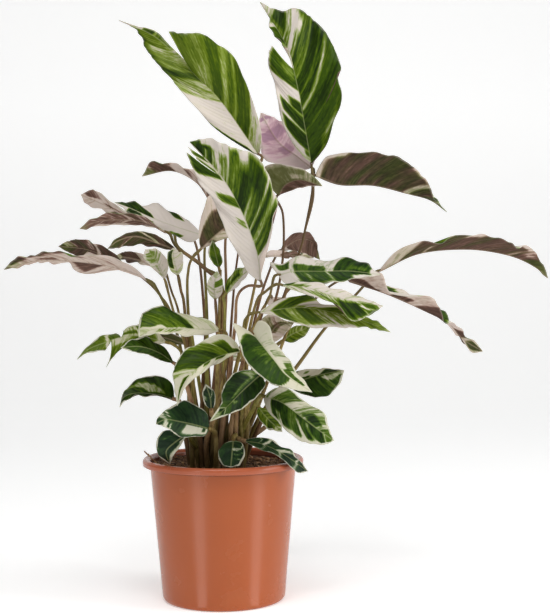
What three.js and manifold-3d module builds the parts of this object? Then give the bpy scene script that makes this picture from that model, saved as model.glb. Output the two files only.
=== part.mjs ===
// A potted calathea: a white-and-green prayer plant in a plain terracotta-coloured
// nursery pot. Units are millimetres, +Z is up, and the origin is the middle of the
// pot's underside. The pieces are the pot, the soil, the crowns (stalks grown
// together at their sheaths) and one blade for each leaf.
import * as THREE from 'three';
import { mergeVertices } from 'three/addons/utils/BufferGeometryUtils.js';
import Module from 'manifold-3d';

const wasm = await Module();
wasm.setup();

// ---------------------------------------------------------------- driving dimensions
const RIM_RADIUS = 85;          // outside of the rolled rim
const RIM_TOP = 149.5;          // height of the pot
const LIP_HEIGHT = 7.5;         // the rim's turned-down lip
const LIP_THICKNESS = 1.6;
const LIP_FALL = 0.6;           // how far the rim's underside falls towards the lip
const RIM_CHAMFER = 1.6;        // outer edge of the rim
const MOUTH_CHAMFER = 1;        // inner edge of the rim
const WALL_TOP_RADIUS = 77;     // outside of the wall, just under the lip
const WALL_FOOT_RADIUS = 64.5;  // outside of the wall, above the rounded foot
const FOOT_ROUNDING = 5;
const WALL = 1.3;
const FLOOR = 2;
const DRAIN_HOLES = 6;
const DRAIN_RADIUS = 3.5;
const DRAIN_CIRCLE = 50;
const POT_SIDES = 48;

const SOIL_TOP = 136;
const SOIL_RELIEF = 1.6;        // how far the soil's crumbs rise and dip
const CLEARANCE = 0.3;          // between pieces that touch

const BLADE_THICKNESS = 0.8;
const BLADE_COLUMNS = 2;        // facets from rib to margin, on each side
const BLADE_ROWS = 11;          // facets from base to tip
const BLADE_CROWDING = 1.25;    // above 1, the rows crowd towards the base
const VEIN_LEAN = 1.7;          // above 1, the side veins run forward
const VEIN_BEND = 0.14;         // how far a side vein sags back, in widths
const BLADE_CUP = 0.06;         // how far the middle of a side bulges, in widths
const BLADE_WAVE = 0.06;        // how far the margin waves, in widths
const WAVES = 3;
const STALK_TOP_RADIUS = 1.5;
const STALK_FOOT_RADIUS = 2.7;
const STALK_SIDES = 5;
const STALK_LEAD = 5;           // the straight last stretch before the blade
const STALK_START = 6;          // above the soil, inside the sheath
const STALK_FACET = 34;         // length of a stalk's facets
const SHEATH_FOOT_RADIUS = 8;
const SHEATH_TOP_RADIUS = 4.2;
const SHEATH_LENGTH = 62;       // above the soil
const ROOT_DEPTH = 26;          // of a sheath, below the soil's top

// Leaves are drawn by their outline on the upright plane through the pot's axis, as it
// looks from an eye in front of the plant. A point [x, z, depth] of that drawing that
// lies deeper than the plane slides along its line of sight, so that the outline stays.
const EYE_DISTANCE = 1420;
const EYE_HEIGHT = 350;

// ---------------------------------------------------------------- materials
const paint = (color, roughness) => new THREE.MeshStandardMaterial({ color, roughness, metalness: 0 });
const terracotta = () => paint(0xb5654a, 0.4);
const earth = () => paint(0x3a2418, 0.95);
const stem = () => paint(0x6d6a35, 0.55);
const foliage = () => paint(0x3f6b2a, 0.45);

// ---------------------------------------------------------------- solids
// An open surface given as points and triangles becomes a closed solid.
function asManifold(geometry) {
  const bare = geometry.clone();
  bare.deleteAttribute('normal');
  bare.deleteAttribute('uv');
  const merged = mergeVertices(bare, 1e-4);
  const mesh = new wasm.Mesh({
    numProp: 3,
    vertProperties: new Float32Array(merged.attributes.position.array),
    triVerts: new Uint32Array(merged.index.array),
  });
  return new wasm.Manifold(mesh);
}

function asGeometry(manifold) {
  const mesh = manifold.getMesh();
  const geometry = new THREE.BufferGeometry();
  geometry.setAttribute('position', new THREE.BufferAttribute(new Float32Array(mesh.vertProperties), 3));
  geometry.setIndex(new THREE.BufferAttribute(new Uint32Array(mesh.triVerts), 1));
  geometry.computeVertexNormals();
  return geometry;
}

function geometryOf(points, triangles) {
  const geometry = new THREE.BufferGeometry();
  geometry.setAttribute('position', new THREE.Float32BufferAttribute(points.flatMap((p) => [p.x, p.y, p.z]), 3));
  geometry.setIndex(triangles.flat());
  geometry.computeVertexNormals();
  return geometry;
}

function named(name, geometry, material) {
  const mesh = new THREE.Mesh(geometry, material);
  mesh.name = name;
  return mesh;
}

// ---------------------------------------------------------------- pot
function wallRadius(z) {
  const foot = FOOT_ROUNDING;
  const top = RIM_TOP - LIP_HEIGHT;
  return WALL_FOOT_RADIUS + (WALL_TOP_RADIUS - WALL_FOOT_RADIUS) * (z - foot) / (top - foot);
}

function potProfile() {
  const lipBottom = RIM_TOP - LIP_HEIGHT;
  const mouth = wallRadius(RIM_TOP) - WALL;
  const corner = WALL_FOOT_RADIUS - FOOT_ROUNDING;
  const profile = [[0, 0]];
  for (const turn of [0, 0.5, 1]) {
    const angle = turn * Math.PI / 2;
    profile.push([corner + FOOT_ROUNDING * Math.sin(angle), FOOT_ROUNDING * (1 - Math.cos(angle))]);
  }
  profile.push(
    [wallRadius(lipBottom), lipBottom],
    [wallRadius(RIM_TOP - LIP_THICKNESS), RIM_TOP - LIP_THICKNESS],
    [RIM_RADIUS - LIP_THICKNESS, RIM_TOP - LIP_THICKNESS - LIP_FALL],
    [RIM_RADIUS - LIP_THICKNESS, lipBottom],
    [RIM_RADIUS, lipBottom],
    [RIM_RADIUS, RIM_TOP - RIM_CHAMFER],
    [RIM_RADIUS - RIM_CHAMFER, RIM_TOP],
    [mouth + MOUTH_CHAMFER, RIM_TOP],
    [wallRadius(RIM_TOP - MOUTH_CHAMFER) - WALL, RIM_TOP - MOUTH_CHAMFER],
    [wallRadius(FOOT_ROUNDING) - WALL, FOOT_ROUNDING],
    [corner, FLOOR],
    [0, FLOOR],
  );
  return profile.map(([radius, height]) => new THREE.Vector2(radius, height));
}

function makePot() {
  const shell = new THREE.LatheGeometry(potProfile(), POT_SIDES).rotateX(Math.PI / 2);
  let pot = asManifold(shell);
  for (let i = 0; i < DRAIN_HOLES; i += 1) {
    const angle = (i + 0.5) * 2 * Math.PI / DRAIN_HOLES;
    const drill = new THREE.CylinderGeometry(DRAIN_RADIUS, DRAIN_RADIUS, 4 * FLOOR, 8).rotateX(Math.PI / 2);
    drill.translate(DRAIN_CIRCLE * Math.cos(angle), DRAIN_CIRCLE * Math.sin(angle), FLOOR / 2);
    pot = pot.subtract(asManifold(drill));
  }
  return named('pot', asGeometry(pot), terracotta());
}

// ---------------------------------------------------------------- places seen from the eye
function seen([x, z, depth]) {
  const reach = 1 + depth / EYE_DISTANCE;
  return new THREE.Vector3(x * reach, depth, EYE_HEIGHT + (z - EYE_HEIGHT) * reach);
}

const smooth = (points) => new THREE.CatmullRomCurve3(points, false, 'catmullrom', 0.5);

// ---------------------------------------------------------------- leaf blades
// rib: [x, z, depth] from the base to the tip. left and right: the margin's points
// [x, z] between base and tip, seen from the upper face with the tip ahead, with lift,
// how much deeper the margin's middle lies than the rib. A torn side has lobes, each up
// to a share of the rib.
function marginDepth(leaf, lift, share) {
  const rib = smooth(leaf.rib.map(([x, z, depth]) => new THREE.Vector3(x, z, depth)));
  const here = rib.getPointAt(Math.min(Math.max(share, 0), 1));
  return here.z + lift * Math.sin(Math.PI * share) ** 0.8;
}

function lobesOf(leaf, side) {
  const base = leaf.rib[0];
  const tip = leaf.rib[leaf.rib.length - 1];
  const lobes = side.lobes ?? [{ until: 1, edge: side.edge }];
  let from = 0;
  return lobes.map((lobe) => {
    const until = lobe.until;
    const flat = lobe.edge.map(([x, z]) => [x, z]);
    if (from === 0) flat.unshift([base[0], base[1]]);
    if (until === 1) flat.push([tip[0], tip[1]]);
    const lengths = [0];
    for (let k = 1; k < flat.length; k += 1) {
      lengths.push(lengths[k - 1] + Math.hypot(flat[k][0] - flat[k - 1][0], flat[k][1] - flat[k - 1][1]));
    }
    const total = lengths[lengths.length - 1];
    const points = flat.map(([x, z], k) => {
      const share = from + (until - from) * lengths[k] / total;
      return seen([x, z, marginDepth(leaf, lobe.lift ?? side.lift ?? 0, share)]);
    });
    const made = { from, until, curve: smooth(points) };
    from = until;
    return made;
  });
}

function bladeSurface(leaf) {
  const rows = leaf.rows ?? BLADE_ROWS;
  const lean = leaf.lean ?? VEIN_LEAN;
  const rib = smooth(leaf.rib.map(seen));
  const share = (i) => (i / rows) ** BLADE_CROWDING;
  const rowAt = (along) => Math.round(rows * along ** (1 / BLADE_CROWDING));
  const points = [];
  const triangles = [];
  const add = (point) => points.push(point) - 1;
  const ribPoints = [];
  for (let i = 0; i <= rows; i += 1) ribPoints.push(add(rib.getPointAt(share(i))));

  // One side vein: from the rib, sagging back towards the base, to the margin.
  const vein = (i, margin, sign) => {
    if (i === 0 || i === rows) return new Array(BLADE_COLUMNS + 1).fill(ribPoints[i]);
    const here = points[ribPoints[i]];
    const along = rib.getTangentAt(share(i));
    const out = margin.clone().sub(here);
    const width = out.length();
    const normal = out.clone().cross(along).multiplyScalar(sign).normalize();
    const middle = here.clone().add(margin).multiplyScalar(0.5);
    middle.addScaledVector(normal, BLADE_CUP * width).addScaledVector(along, -VEIN_BEND * width);
    const ripple = BLADE_WAVE * width * Math.sin(2 * Math.PI * WAVES * share(i) + sign);
    const column = [ribPoints[i]];
    for (let j = 1; j <= BLADE_COLUMNS; j += 1) {
      const v = j / BLADE_COLUMNS;
      const point = here.clone().multiplyScalar((1 - v) ** 2);
      point.addScaledVector(middle, 2 * v * (1 - v)).addScaledVector(margin, v * v);
      column.push(add(point.addScaledVector(normal, ripple * v * v)));
    }
    return column;
  };

  for (const [side, sign] of [[leaf.right, 1], [leaf.left, -1]]) {
    for (const { from, until, curve } of lobesOf(leaf, side)) {
      const first = rowAt(from);
      const last = rowAt(until);
      const veins = [];
      for (let i = first; i <= last; i += 1) {
        const step = (i - first) / (last - first);
        const reach = from === 0 ? step ** (BLADE_CROWDING / lean) : step;
        veins.push(vein(i, curve.getPointAt(reach), sign));
      }
      for (let i = 0; i + 1 < veins.length; i += 1) {
        for (let j = 0; j < BLADE_COLUMNS; j += 1) {
          const corners = [veins[i][j], veins[i][j + 1], veins[i + 1][j + 1], veins[i + 1][j]];
          if (sign < 0) corners.reverse();
          const [a, b, c, d] = corners;
          for (const triangle of [[a, b, c], [a, c, d]]) {
            if (new Set(triangle).size === 3) triangles.push(triangle);
          }
        }
      }
    }
  }
  return { points, triangles };
}

// A sheet gets a second face a thickness below it and a wall along its open edges, with
// the same triangles on both faces.
function thicken({ points, triangles }, thickness) {
  const normals = points.map(() => new THREE.Vector3());
  const edges = new Map();
  for (const [a, b, c] of triangles) {
    const face = points[b].clone().sub(points[a]).cross(points[c].clone().sub(points[a]));
    for (const k of [a, b, c]) normals[k].add(face);
    for (const [from, to] of [[a, b], [b, c], [c, a]]) edges.set(`${from}_${to}`, [from, to]);
  }
  const count = points.length;
  const below = points.map((point, k) => point.clone().addScaledVector(normals[k].normalize(), -thickness));
  const faces = [...triangles];
  for (const [a, b, c] of triangles) faces.push([a + count, c + count, b + count]);
  for (const [a, b] of edges.values()) {
    if (edges.has(`${b}_${a}`)) continue;
    faces.push([a, a + count, b + count], [a, b + count, b]);
  }
  return geometryOf([...points, ...below], faces);
}

function makeLeaf(name, leaf) {
  return named(name, thicken(bladeSurface(leaf), BLADE_THICKNESS), foliage());
}

// ---------------------------------------------------------------- crowns and stalks
function tube(curve, steps, startRadius, endRadius, sides) {
  const points = [];
  const triangles = [];
  const frames = curve.computeFrenetFrames(steps, false);
  for (let i = 0; i <= steps; i += 1) {
    const centre = curve.getPointAt(i / steps);
    const radius = startRadius + (endRadius - startRadius) * i / steps;
    for (let k = 0; k < sides; k += 1) {
      const angle = 2 * Math.PI * k / sides;
      const point = centre.clone().addScaledVector(frames.normals[i], radius * Math.cos(angle));
      points.push(point.addScaledVector(frames.binormals[i], radius * Math.sin(angle)));
    }
  }
  for (let i = 0; i < steps; i += 1) {
    for (let k = 0; k < sides; k += 1) {
      const a = i * sides + k;
      const b = i * sides + (k + 1) % sides;
      triangles.push([a, b, b + sides], [a, b + sides, a + sides]);
    }
  }
  for (let k = 1; k + 1 < sides; k += 1) {
    triangles.push([0, k + 1, k]);
    const top = steps * sides;
    triangles.push([top, top + k, top + k + 1]);
  }
  return asManifold(geometryOf(points, triangles));
}

// A stalk leaves its crown upright inside the sheath, follows its bends and meets the
// blade in line with the rib, a clearance short of it.
function stalkOf(leaf, crown) {
  const rib = smooth(leaf.rib.map(seen));
  const start = rib.getPointAt(0);
  const along = rib.getTangentAt(0);
  const [x, y] = CROWNS[crown];
  const bends = leaf.via.map(seen).reverse();
  const low = new THREE.Vector3(x, y, SOIL_TOP + STALK_START);
  const leaving = Math.min(SOIL_TOP + 0.7 * SHEATH_LENGTH, (low.z + bends[0].z) / 2);
  const high = new THREE.Vector3(x, y, leaving);
  const before = start.clone().addScaledVector(along, -STALK_LEAD);
  const end = start.clone().addScaledVector(along, -CLEARANCE - 0.1);
  const curve = smooth([low, high, ...bends, before, end]);
  const steps = Math.max(5, Math.min(10, Math.round(curve.getLength() / STALK_FACET)));
  return tube(curve, steps, STALK_FOOT_RADIUS, STALK_TOP_RADIUS, STALK_SIDES);
}

function sheath(crown) {
  const [x, y] = CROWNS[crown];
  const profile = [
    new THREE.Vector2(0, SOIL_TOP - ROOT_DEPTH),
    new THREE.Vector2(SHEATH_FOOT_RADIUS * 0.8, SOIL_TOP - ROOT_DEPTH),
    new THREE.Vector2(SHEATH_FOOT_RADIUS, SOIL_TOP - ROOT_DEPTH / 2),
    new THREE.Vector2(SHEATH_FOOT_RADIUS, SOIL_TOP + STALK_START),
    new THREE.Vector2(SHEATH_TOP_RADIUS, SOIL_TOP + SHEATH_LENGTH),
    new THREE.Vector2(0, SOIL_TOP + SHEATH_LENGTH + 3),
  ];
  return asManifold(new THREE.LatheGeometry(profile, 9).rotateX(Math.PI / 2).translate(x, y, 0));
}

function makeCrown(crown, leaves) {
  let body = sheath(crown);
  for (const leaf of leaves) body = body.add(stalkOf(leaf, crown));
  return named(`crown_${crown}`, asGeometry(body), stem());
}

// ---------------------------------------------------------------- soil
function soilHeight(x, y) {
  const crumbs = Math.sin(x * 0.31 + 1) * Math.cos(y * 0.27) + 0.6 * Math.sin(x * 0.11 - y * 0.53 + 2);
  return SOIL_TOP + SOIL_RELIEF * crumbs / 1.6;
}

function makeSoil() {
  const rings = 5;
  const spokes = 24;
  const radius = wallRadius(SOIL_TOP) - WALL - CLEARANCE - 0.2;
  const foot = WALL_FOOT_RADIUS - FOOT_ROUNDING - 2;
  const points = [new THREE.Vector3(0, 0, soilHeight(0, 0))];
  const triangles = [];
  const ring = (r, height) => {
    const first = points.length;
    for (let k = 0; k < spokes; k += 1) {
      const angle = 2 * Math.PI * k / spokes;
      const x = r * Math.cos(angle);
      const y = r * Math.sin(angle);
      points.push(new THREE.Vector3(x, y, height ?? soilHeight(x, y)));
    }
    return first;
  };
  const join = (inner, outer) => {
    for (let k = 0; k < spokes; k += 1) {
      const next = (k + 1) % spokes;
      triangles.push([inner + k, outer + k, outer + next], [inner + k, outer + next, inner + next]);
    }
  };
  let inner = ring(radius / rings);
  for (let k = 0; k < spokes; k += 1) triangles.push([0, inner + k, inner + (k + 1) % spokes]);
  for (let n = 2; n <= rings; n += 1) {
    const outer = ring(radius * n / rings);
    join(inner, outer);
    inner = outer;
  }
  const knee = ring(wallRadius(2 * FOOT_ROUNDING) - WALL - CLEARANCE - 0.4, 2 * FOOT_ROUNDING);
  join(inner, knee);
  const bottom = ring(foot, FLOOR + CLEARANCE);
  join(knee, bottom);
  const middle = points.push(new THREE.Vector3(0, 0, FLOOR + CLEARANCE)) - 1;
  for (let k = 0; k < spokes; k += 1) triangles.push([middle, bottom + (k + 1) % spokes, bottom + k]);

  let soil = asManifold(geometryOf(points, triangles));
  for (const [x, y] of Object.values(CROWNS)) {
    const hole = SHEATH_FOOT_RADIUS + CLEARANCE;
    const depth = ROOT_DEPTH + CLEARANCE;
    const drill = new THREE.CylinderGeometry(hole, hole, 2 * depth, 12).rotateX(Math.PI / 2);
    drill.translate(x, y, SOIL_TOP);
    soil = soil.subtract(asManifold(drill));
  }
  const twig = smooth([
    new THREE.Vector3(-58, -30, SOIL_TOP - 4),
    new THREE.Vector3(-70, -25, SOIL_TOP + 12),
    new THREE.Vector3(-82, -24, SOIL_TOP + 24),
  ]);
  soil = soil.add(tube(twig, 4, 1.3, 0.8, 5));
  return named('soil', asGeometry(soil), earth());
}

// ---------------------------------------------------------------- crowns: [x, y] in the soil
const CROWNS = {
  left: [-28, -12],
  front: [-8, -30],
  middle: [-14, 8],
  back: [4, 28],
  front_right: [13, -20],
  right: [16, 4],
};

// ---------------------------------------------------------------- leaves
const LEAVES = [
  // tall torn leaf at the upper left
  { crown: 'middle', via: [[22, 430, -16], [5, 386, -10], [4, 314, -8]], rows: 14, lean: 2,
    rib: [[40, 467, -22], [1, 523, -34], [-22, 547, -34], [-65, 589, -18], [-106, 609, 14]],
    left: { lift: -6, edge: [[20, 478], [-11, 500], [-38, 532], [-64, 561], [-78, 580], [-88, 599]] },
    right: { lift: -10, lobes: [
      { until: 0.5, edge: [[43, 485], [40, 504], [30, 535], [23, 552], [14, 571], [-4, 585], [-20, 594], [-55, 596]] },
      { until: 1, lift: -2, edge: [[-26, 553], [-43, 563], [-54, 580], [-68, 598], [-88, 603]] }] } },
  // tall leaf at the top, with a torn left side
  { crown: 'right', via: [[97, 423, 8], [88, 388, 6], [82, 365, 5], [60, 300, 6]], rows: 14, lean: 2.1,
    rib: [[95, 458, 10], [90, 489, -4], [79, 549, -10], [69, 583, 2], [42, 628, 34]],
    left: { lift: -4, lobes: [
      { until: 0.52, edge: [[79, 475], [67, 496], [61, 520], [57, 543], [51, 557], [50, 571], [53, 583]] },
      { until: 1, lift: 0, edge: [[69, 579], [62, 590], [52, 601], [51, 613]] }] },
    right: { lift: -10, edge: [[112, 480], [119, 506], [126, 522], [127, 535], [123, 551], [127, 562],
      [112, 593], [99, 610], [82, 621], [66, 618]] } },
  // broad leaf at the front, cream on one side
  { crown: 'front', via: [[27, 330, -44], [16, 318, -42], [13, 283, -38]], rows: 16, lean: 2,
    rib: [[41, 334, -48], [37, 365, -66], [20, 411, -80], [-1, 447, -82], [-33, 482, -78]],
    left: { lift: -4, lobes: [
      { until: 0.72, edge: [[28, 344], [18, 362], [7, 384], [-7, 416], [-20, 436], [-30, 455], [-36, 471]] },
      { until: 0.86, edge: [[-26, 464], [-30, 469], [-35, 476]] },
      { until: 1, edge: [[-24, 471], [-28, 477]] }] },
    right: { lift: -14, edge: [[45, 350], [49, 368], [54, 386], [52, 402], [60, 416], [55, 432], [51, 446],
      [39, 465], [14, 476], [-4, 483], [-20, 485]] } },
  // leaf behind the two tall ones, seen from below
  { crown: 'back', via: [[96, 430, 26], [88, 388, 24], [82, 365, 22], [55, 290, 20]],
    rib: [[95, 454, 30], [80, 466, 48], [60, 482, 70], [42, 512, 96]],
    left: { lift: 8, edge: [[99, 464], [88, 480], [72, 495], [56, 507]] },
    right: { lift: -2, edge: [[85, 452], [62, 456], [46, 464], [41, 484], [40, 500]] } },
  // dark underside arching to the right
  { crown: 'right', via: [[96, 430, 16], [88, 388, 15], [82, 365, 13], [55, 290, 12]],
    rib: [[99, 446, 16], [126, 437, 26], [161, 436, 38], [197, 427, 46], [221, 420, 50], [239, 407, 50]],
    left: { lift: 30, edge: [[118, 450], [150, 458], [190, 450], [215, 434]] },
    right: { lift: -20, edge: [[108, 462], [118, 467], [152, 471], [165, 471], [193, 462], [208, 451],
      [218, 440], [224, 424]] } },
  // short leaf towards the front, seen from below
  { crown: 'front_right', via: [[65, 404, -22], [64, 355, -16], [52, 300, -12]],
    rib: [[60, 425, -26], [68, 437, -36], [84, 442, -52], [107, 435, -72]],
    left: { lift: 6, edge: [[70, 425], [82, 429], [95, 433]] },
    right: { lift: -8, edge: [[48, 438], [46, 455], [62, 458], [80, 455], [97, 446]] } },
  // long leaf to the right
  { crown: 'right', via: [[148, 327, -12], [109, 285, -10], [79, 245, -8], [45, 200, -2]], rows: 14,
    rib: [[166, 345, -12], [209, 364, -12], [262, 368, -6], [305, 361, 0], [332, 349, 4], [347, 336, 4]],
    left: { lift: 28, edge: [[190, 360], [230, 374], [280, 372], [320, 358]] },
    right: { lift: -16, edge: [[184, 364], [209, 375], [231, 376], [243, 383], [274, 381], [302, 378],
      [315, 369], [327, 369], [342, 351]] } },
  // thin leaf to the lower right
  { crown: 'right', via: [[110, 326, -30], [75, 292, -24], [60, 260, -20], [38, 205, -8]], rows: 14,
    rib: [[134, 335, -26], [173, 322, -34], [213, 304, -36], [241, 289, -32], [277, 259, -26]],
    left: { lift: 24, edge: [[150, 337], [190, 323], [225, 307], [258, 276]] },
    right: { lift: -10, edge: [[142, 342], [168, 343], [180, 322], [206, 319], [227, 313], [236, 293],
      [258, 273]] } },
  // white leaf with green patches
  { crown: 'front_right', via: [[50, 318, -48], [40, 300, -42], [26, 262, -32]],
    rib: [[60, 341, -56], [76, 345, -62], [106, 345, -66], [136, 345, -66], [168, 341, -60]],
    left: { lift: 24, edge: [[50, 355], [65, 353], [85, 361], [110, 356], [130, 359], [150, 354]] },
    right: { lift: -8, edge: [[66, 333], [80, 330], [100, 331], [120, 333], [143, 337]] } },
  // cream leaf, dark green below its rib
  { crown: 'front_right', via: [[46, 324, -70], [36, 312, -60], [26, 262, -44]],
    rib: [[62, 331, -84], [90, 328, -92], [120, 318, -96], [146, 312, -96], [171, 308, -92]],
    left: { lift: 8, edge: [[84, 334], [108, 331], [130, 324], [152, 316]] },
    right: { lift: -14, edge: [[74, 325], [100, 318], [118, 312], [130, 299], [145, 293], [158, 299]] } },
  // bright striped leaf to the right
  { crown: 'front_right', via: [[27, 298, -66], [22, 280, -58]],
    rib: [[38, 302, -72], [80, 307, -84], [120, 301, -88], [150, 292, -86], [179, 280, -80]],
    left: { lift: 6, edge: [[60, 315], [90, 319], [105, 313], [125, 306], [150, 297], [166, 290]] },
    right: { lift: -10, edge: [[58, 297], [75, 292], [92, 287], [110, 284], [135, 286], [158, 284]] } },
  // purple underside in the gap at the middle right
  { crown: 'back', via: [[50, 345, 44], [36, 300, 30]], rows: 9,
    rib: [[62, 367, 72], [80, 379, 98], [97, 376, 122], [104, 357, 142]],
    left: { lift: 4, edge: [[76, 367], [88, 363], [97, 360]] },
    right: { lift: -4, edge: [[68, 379], [80, 386], [97, 382]] } },
  // narrow leaf below it
  { crown: 'back', via: [[38, 345, 18], [28, 300, 16]], rows: 8,
    rib: [[46, 361, 26], [62, 363, 52], [80, 362, 80], [98, 359, 104]],
    left: { lift: 6, edge: [[62, 360], [80, 359]] },
    right: { lift: -4, edge: [[51, 367], [66, 367], [86, 364]] } },
  // folded leaf at the left of the front leaf
  { crown: 'middle', via: [[-12, 385, -18], [-18, 365, -14], [-16, 293, -8]],
    rib: [[-6, 405, -24], [-14, 424, -22], [-27, 441, -18], [-52, 452, -12], [-83, 446, -6]],
    left: { lift: -12, edge: [[-8, 426], [-18, 444], [-33, 455], [-50, 458], [-72, 461]] },
    right: { lift: 14, edge: [[-12, 428], [-32, 450], [-60, 454]] } },
  // brown underside beside it
  { crown: 'left', via: [[-30, 361, -44], [-35, 348, -40], [-36, 311, -24]],
    rib: [[-22, 369, -48], [-8, 382, -44], [6, 393, -40], [22, 405, -30], [38, 422, -14]],
    left: { lift: 6, edge: [[-6, 376], [12, 384], [30, 400]] },
    right: { lift: -4, edge: [[-24, 385], [-20, 408], [-13, 425], [4, 430], [22, 428]] } },
  // cream leaf to the left
  { crown: 'middle', via: [[-18, 366, -2], [-17, 300, 2]],
    rib: [[-20, 384, -6], [-46, 392, -12], [-72, 402, -18], [-94, 412, -22], [-112, 419, -26]],
    left: { lift: -12, edge: [[-32, 377], [-53, 384], [-74, 398], [-96, 408]] },
    right: { lift: 18, edge: [[-35, 399], [-58, 413], [-80, 417], [-98, 419]] } },
  // pink and brown underside to the left
  { crown: 'middle', via: [[-45, 371, 0], [-18, 350, -2], [1, 322, -2]],
    rib: [[-54, 388, -2], [-76, 397, 8], [-101, 405, 18], [-126, 418, 28], [-147, 427, 34]],
    left: { lift: -8, edge: [[-70, 401], [-88, 408], [-110, 415], [-124, 427], [-138, 431]] },
    right: { lift: 12, edge: [[-76, 393], [-100, 399], [-119, 409], [-139, 415]] } },
  // brown leaf below it
  { crown: 'middle', via: [[-47, 371, -26], [-18, 348, -18], [2, 318, -14]],
    rib: [[-58, 387, -36], [-82, 399, -50], [-107, 401, -58], [-130, 399, -62], [-149, 391, -64]],
    left: { lift: -6, edge: [[-85, 405], [-110, 408], [-128, 405], [-141, 398]] },
    right: { lift: 10, edge: [[-80, 394], [-100, 391], [-108, 396], [-122, 393], [-138, 391]] } },
  // arched brown leaf with a pale rib
  { crown: 'middle', via: [[-34, 362, -24], [-14, 345, -24], [0, 318, -20]],
    rib: [[-46, 368, -26], [-70, 377, -50], [-90, 383, -70], [-108, 379, -84], [-120, 370, -92]],
    left: { lift: -4, edge: [[-58, 378], [-76, 387], [-92, 388], [-109, 382]] },
    right: { lift: 8, edge: [[-64, 368], [-84, 372], [-105, 371]] } },
  // long leaf to the left
  { crown: 'left', via: [[-70, 330, -10], [-59, 309, -12], [-38, 265, -12]], rows: 14,
    rib: [[-78, 337, -10], [-95, 346, -6], [-126, 354, 0], [-160, 358, 4], [-195, 358, 4], [-228, 349, 0]],
    left: { lift: -10, edge: [[-95, 353], [-120, 361], [-150, 364], [-185, 367], [-202, 363], [-217, 360]] },
    right: { lift: 16, edge: [[-100, 345], [-120, 346], [-128, 350], [-142, 343], [-158, 352], [-185, 357],
      [-212, 352]] } },
  // brown leaf over it, pointing back
  { crown: 'middle', via: [[-84, 340, 14], [-66, 322, 12], [-50, 290, 10]], rows: 10,
    rib: [[-101, 351, 20], [-121, 362, 46], [-143, 370, 74], [-171, 373, 98]],
    left: { lift: -4, edge: [[-110, 363], [-128, 374], [-145, 380], [-160, 379]] },
    right: { lift: 6, edge: [[-120, 355], [-141, 359], [-158, 365]] } },
  // pale leaf at the left, pointing forward
  { crown: 'left', via: [[-56, 322, -18], [-50, 300, -20], [-38, 262, -18]], rows: 9,
    rib: [[-60, 337, -18], [-65, 350, -34], [-71, 361, -50], [-80, 369, -70]],
    left: { lift: -4, edge: [[-68, 345], [-76, 353], [-82, 362]] },
    right: { lift: 2, edge: [[-57, 346], [-57, 358], [-67, 369]] } },
  // narrow brown leaf at the left, pointing back
  { crown: 'middle', via: [[-53, 325, 24], [-44, 295, 18]], rows: 9,
    rib: [[-62, 346, 34], [-84, 357, 58], [-100, 361, 80], [-113, 362, 100]],
    left: { lift: -3, edge: [[-80, 363], [-100, 367]] },
    right: { lift: 5, edge: [[-80, 353], [-100, 357]] } },
  // cream leaf with a dark edge, standing at the left
  { crown: 'left', via: [[-43, 325, -32], [-40, 312, -32], [-36, 262, -26]], rows: 8,
    rib: [[-46, 341, -34], [-49, 353, -50], [-51, 362, -66], [-50, 371, -84]],
    left: { lift: 0, edge: [[-53, 346], [-57, 357], [-56, 366]] },
    right: { lift: 0, edge: [[-41, 350], [-41, 362]] } },
  // small dark leaf in the middle gap
  { crown: 'middle', via: [[-2, 330, -28]], rows: 7,
    rib: [[-3, 349, -30], [-6, 363, -40], [-10, 379, -54]],
    left: { lift: -2, edge: [[-10, 355], [-14, 367]] },
    right: { lift: -2, edge: [[1, 356], [-3, 369]] } },
  // small cream leaf below it
  { crown: 'middle', via: [[-6, 296, -24], [-6, 260, -18]], rows: 7,
    rib: [[-7, 315, -28], [-8, 330, -36], [-5, 346, -48]],
    left: { lift: -2, edge: [[-14, 323], [-15, 335]] },
    right: { lift: -2, edge: [[0, 323], [0, 337]] } },
  // small striped leaf under the front leaf
  { crown: 'front', via: [[3, 300, -32]], rows: 8,
    rib: [[4, 321, -34], [15, 336, -38], [31, 349, -46]],
    left: { lift: 4, edge: [[4, 332], [12, 345], [22, 350]] },
    right: { lift: -4, edge: [[14, 328], [24, 338]] } },
  // purple and cream leaf, seen from below, under the striped one
  { crown: 'right', via: [[44, 255, -22]], rows: 8,
    rib: [[52, 270, -30], [53, 282, -36], [61, 290, -46], [76, 291, -62]],
    left: { lift: 2, edge: [[58, 272], [67, 280]] },
    right: { lift: -2, edge: [[44, 280], [42, 296], [54, 299], [66, 294]] } },
  // small striped leaf beside it
  { crown: 'right', via: [[50, 255, -6]], rows: 8,
    rib: [[64, 272, -8], [74, 279, -4], [94, 287, 4]],
    left: { lift: 4, edge: [[66, 281], [76, 287], [86, 289]] },
    right: { lift: -2, edge: [[74, 270], [86, 276]] } },
  // broad green and cream leaf at the left
  { crown: 'front', via: [[6, 272, -34], [4, 250, -32]],
    rib: [[-2, 283, -36], [-26, 285, -50], [-50, 286, -62], [-73, 285, -70], [-88, 277, -76]],
    left: { lift: -10, edge: [[-20, 278], [-40, 279], [-62, 281], [-80, 279]] },
    right: { lift: 16, edge: [[-12, 293], [-30, 299], [-50, 304], [-65, 308], [-79, 306], [-87, 295]] } },
  // torn leaf behind it
  { crown: 'left', via: [[-44, 262, -8], [-34, 240, -10]], rows: 13,
    rib: [[-58, 271, -8], [-88, 278, -22], [-106, 277, -30], [-122, 272, -38], [-140, 265, -44], [-153, 254, -48]],
    left: { lift: -6, lobes: [
      { until: 0.6, edge: [[-74, 268], [-92, 270], [-104, 266], [-116, 256], [-121, 246]] },
      { until: 1, edge: [[-122, 264], [-132, 262], [-144, 260]] }] },
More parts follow.
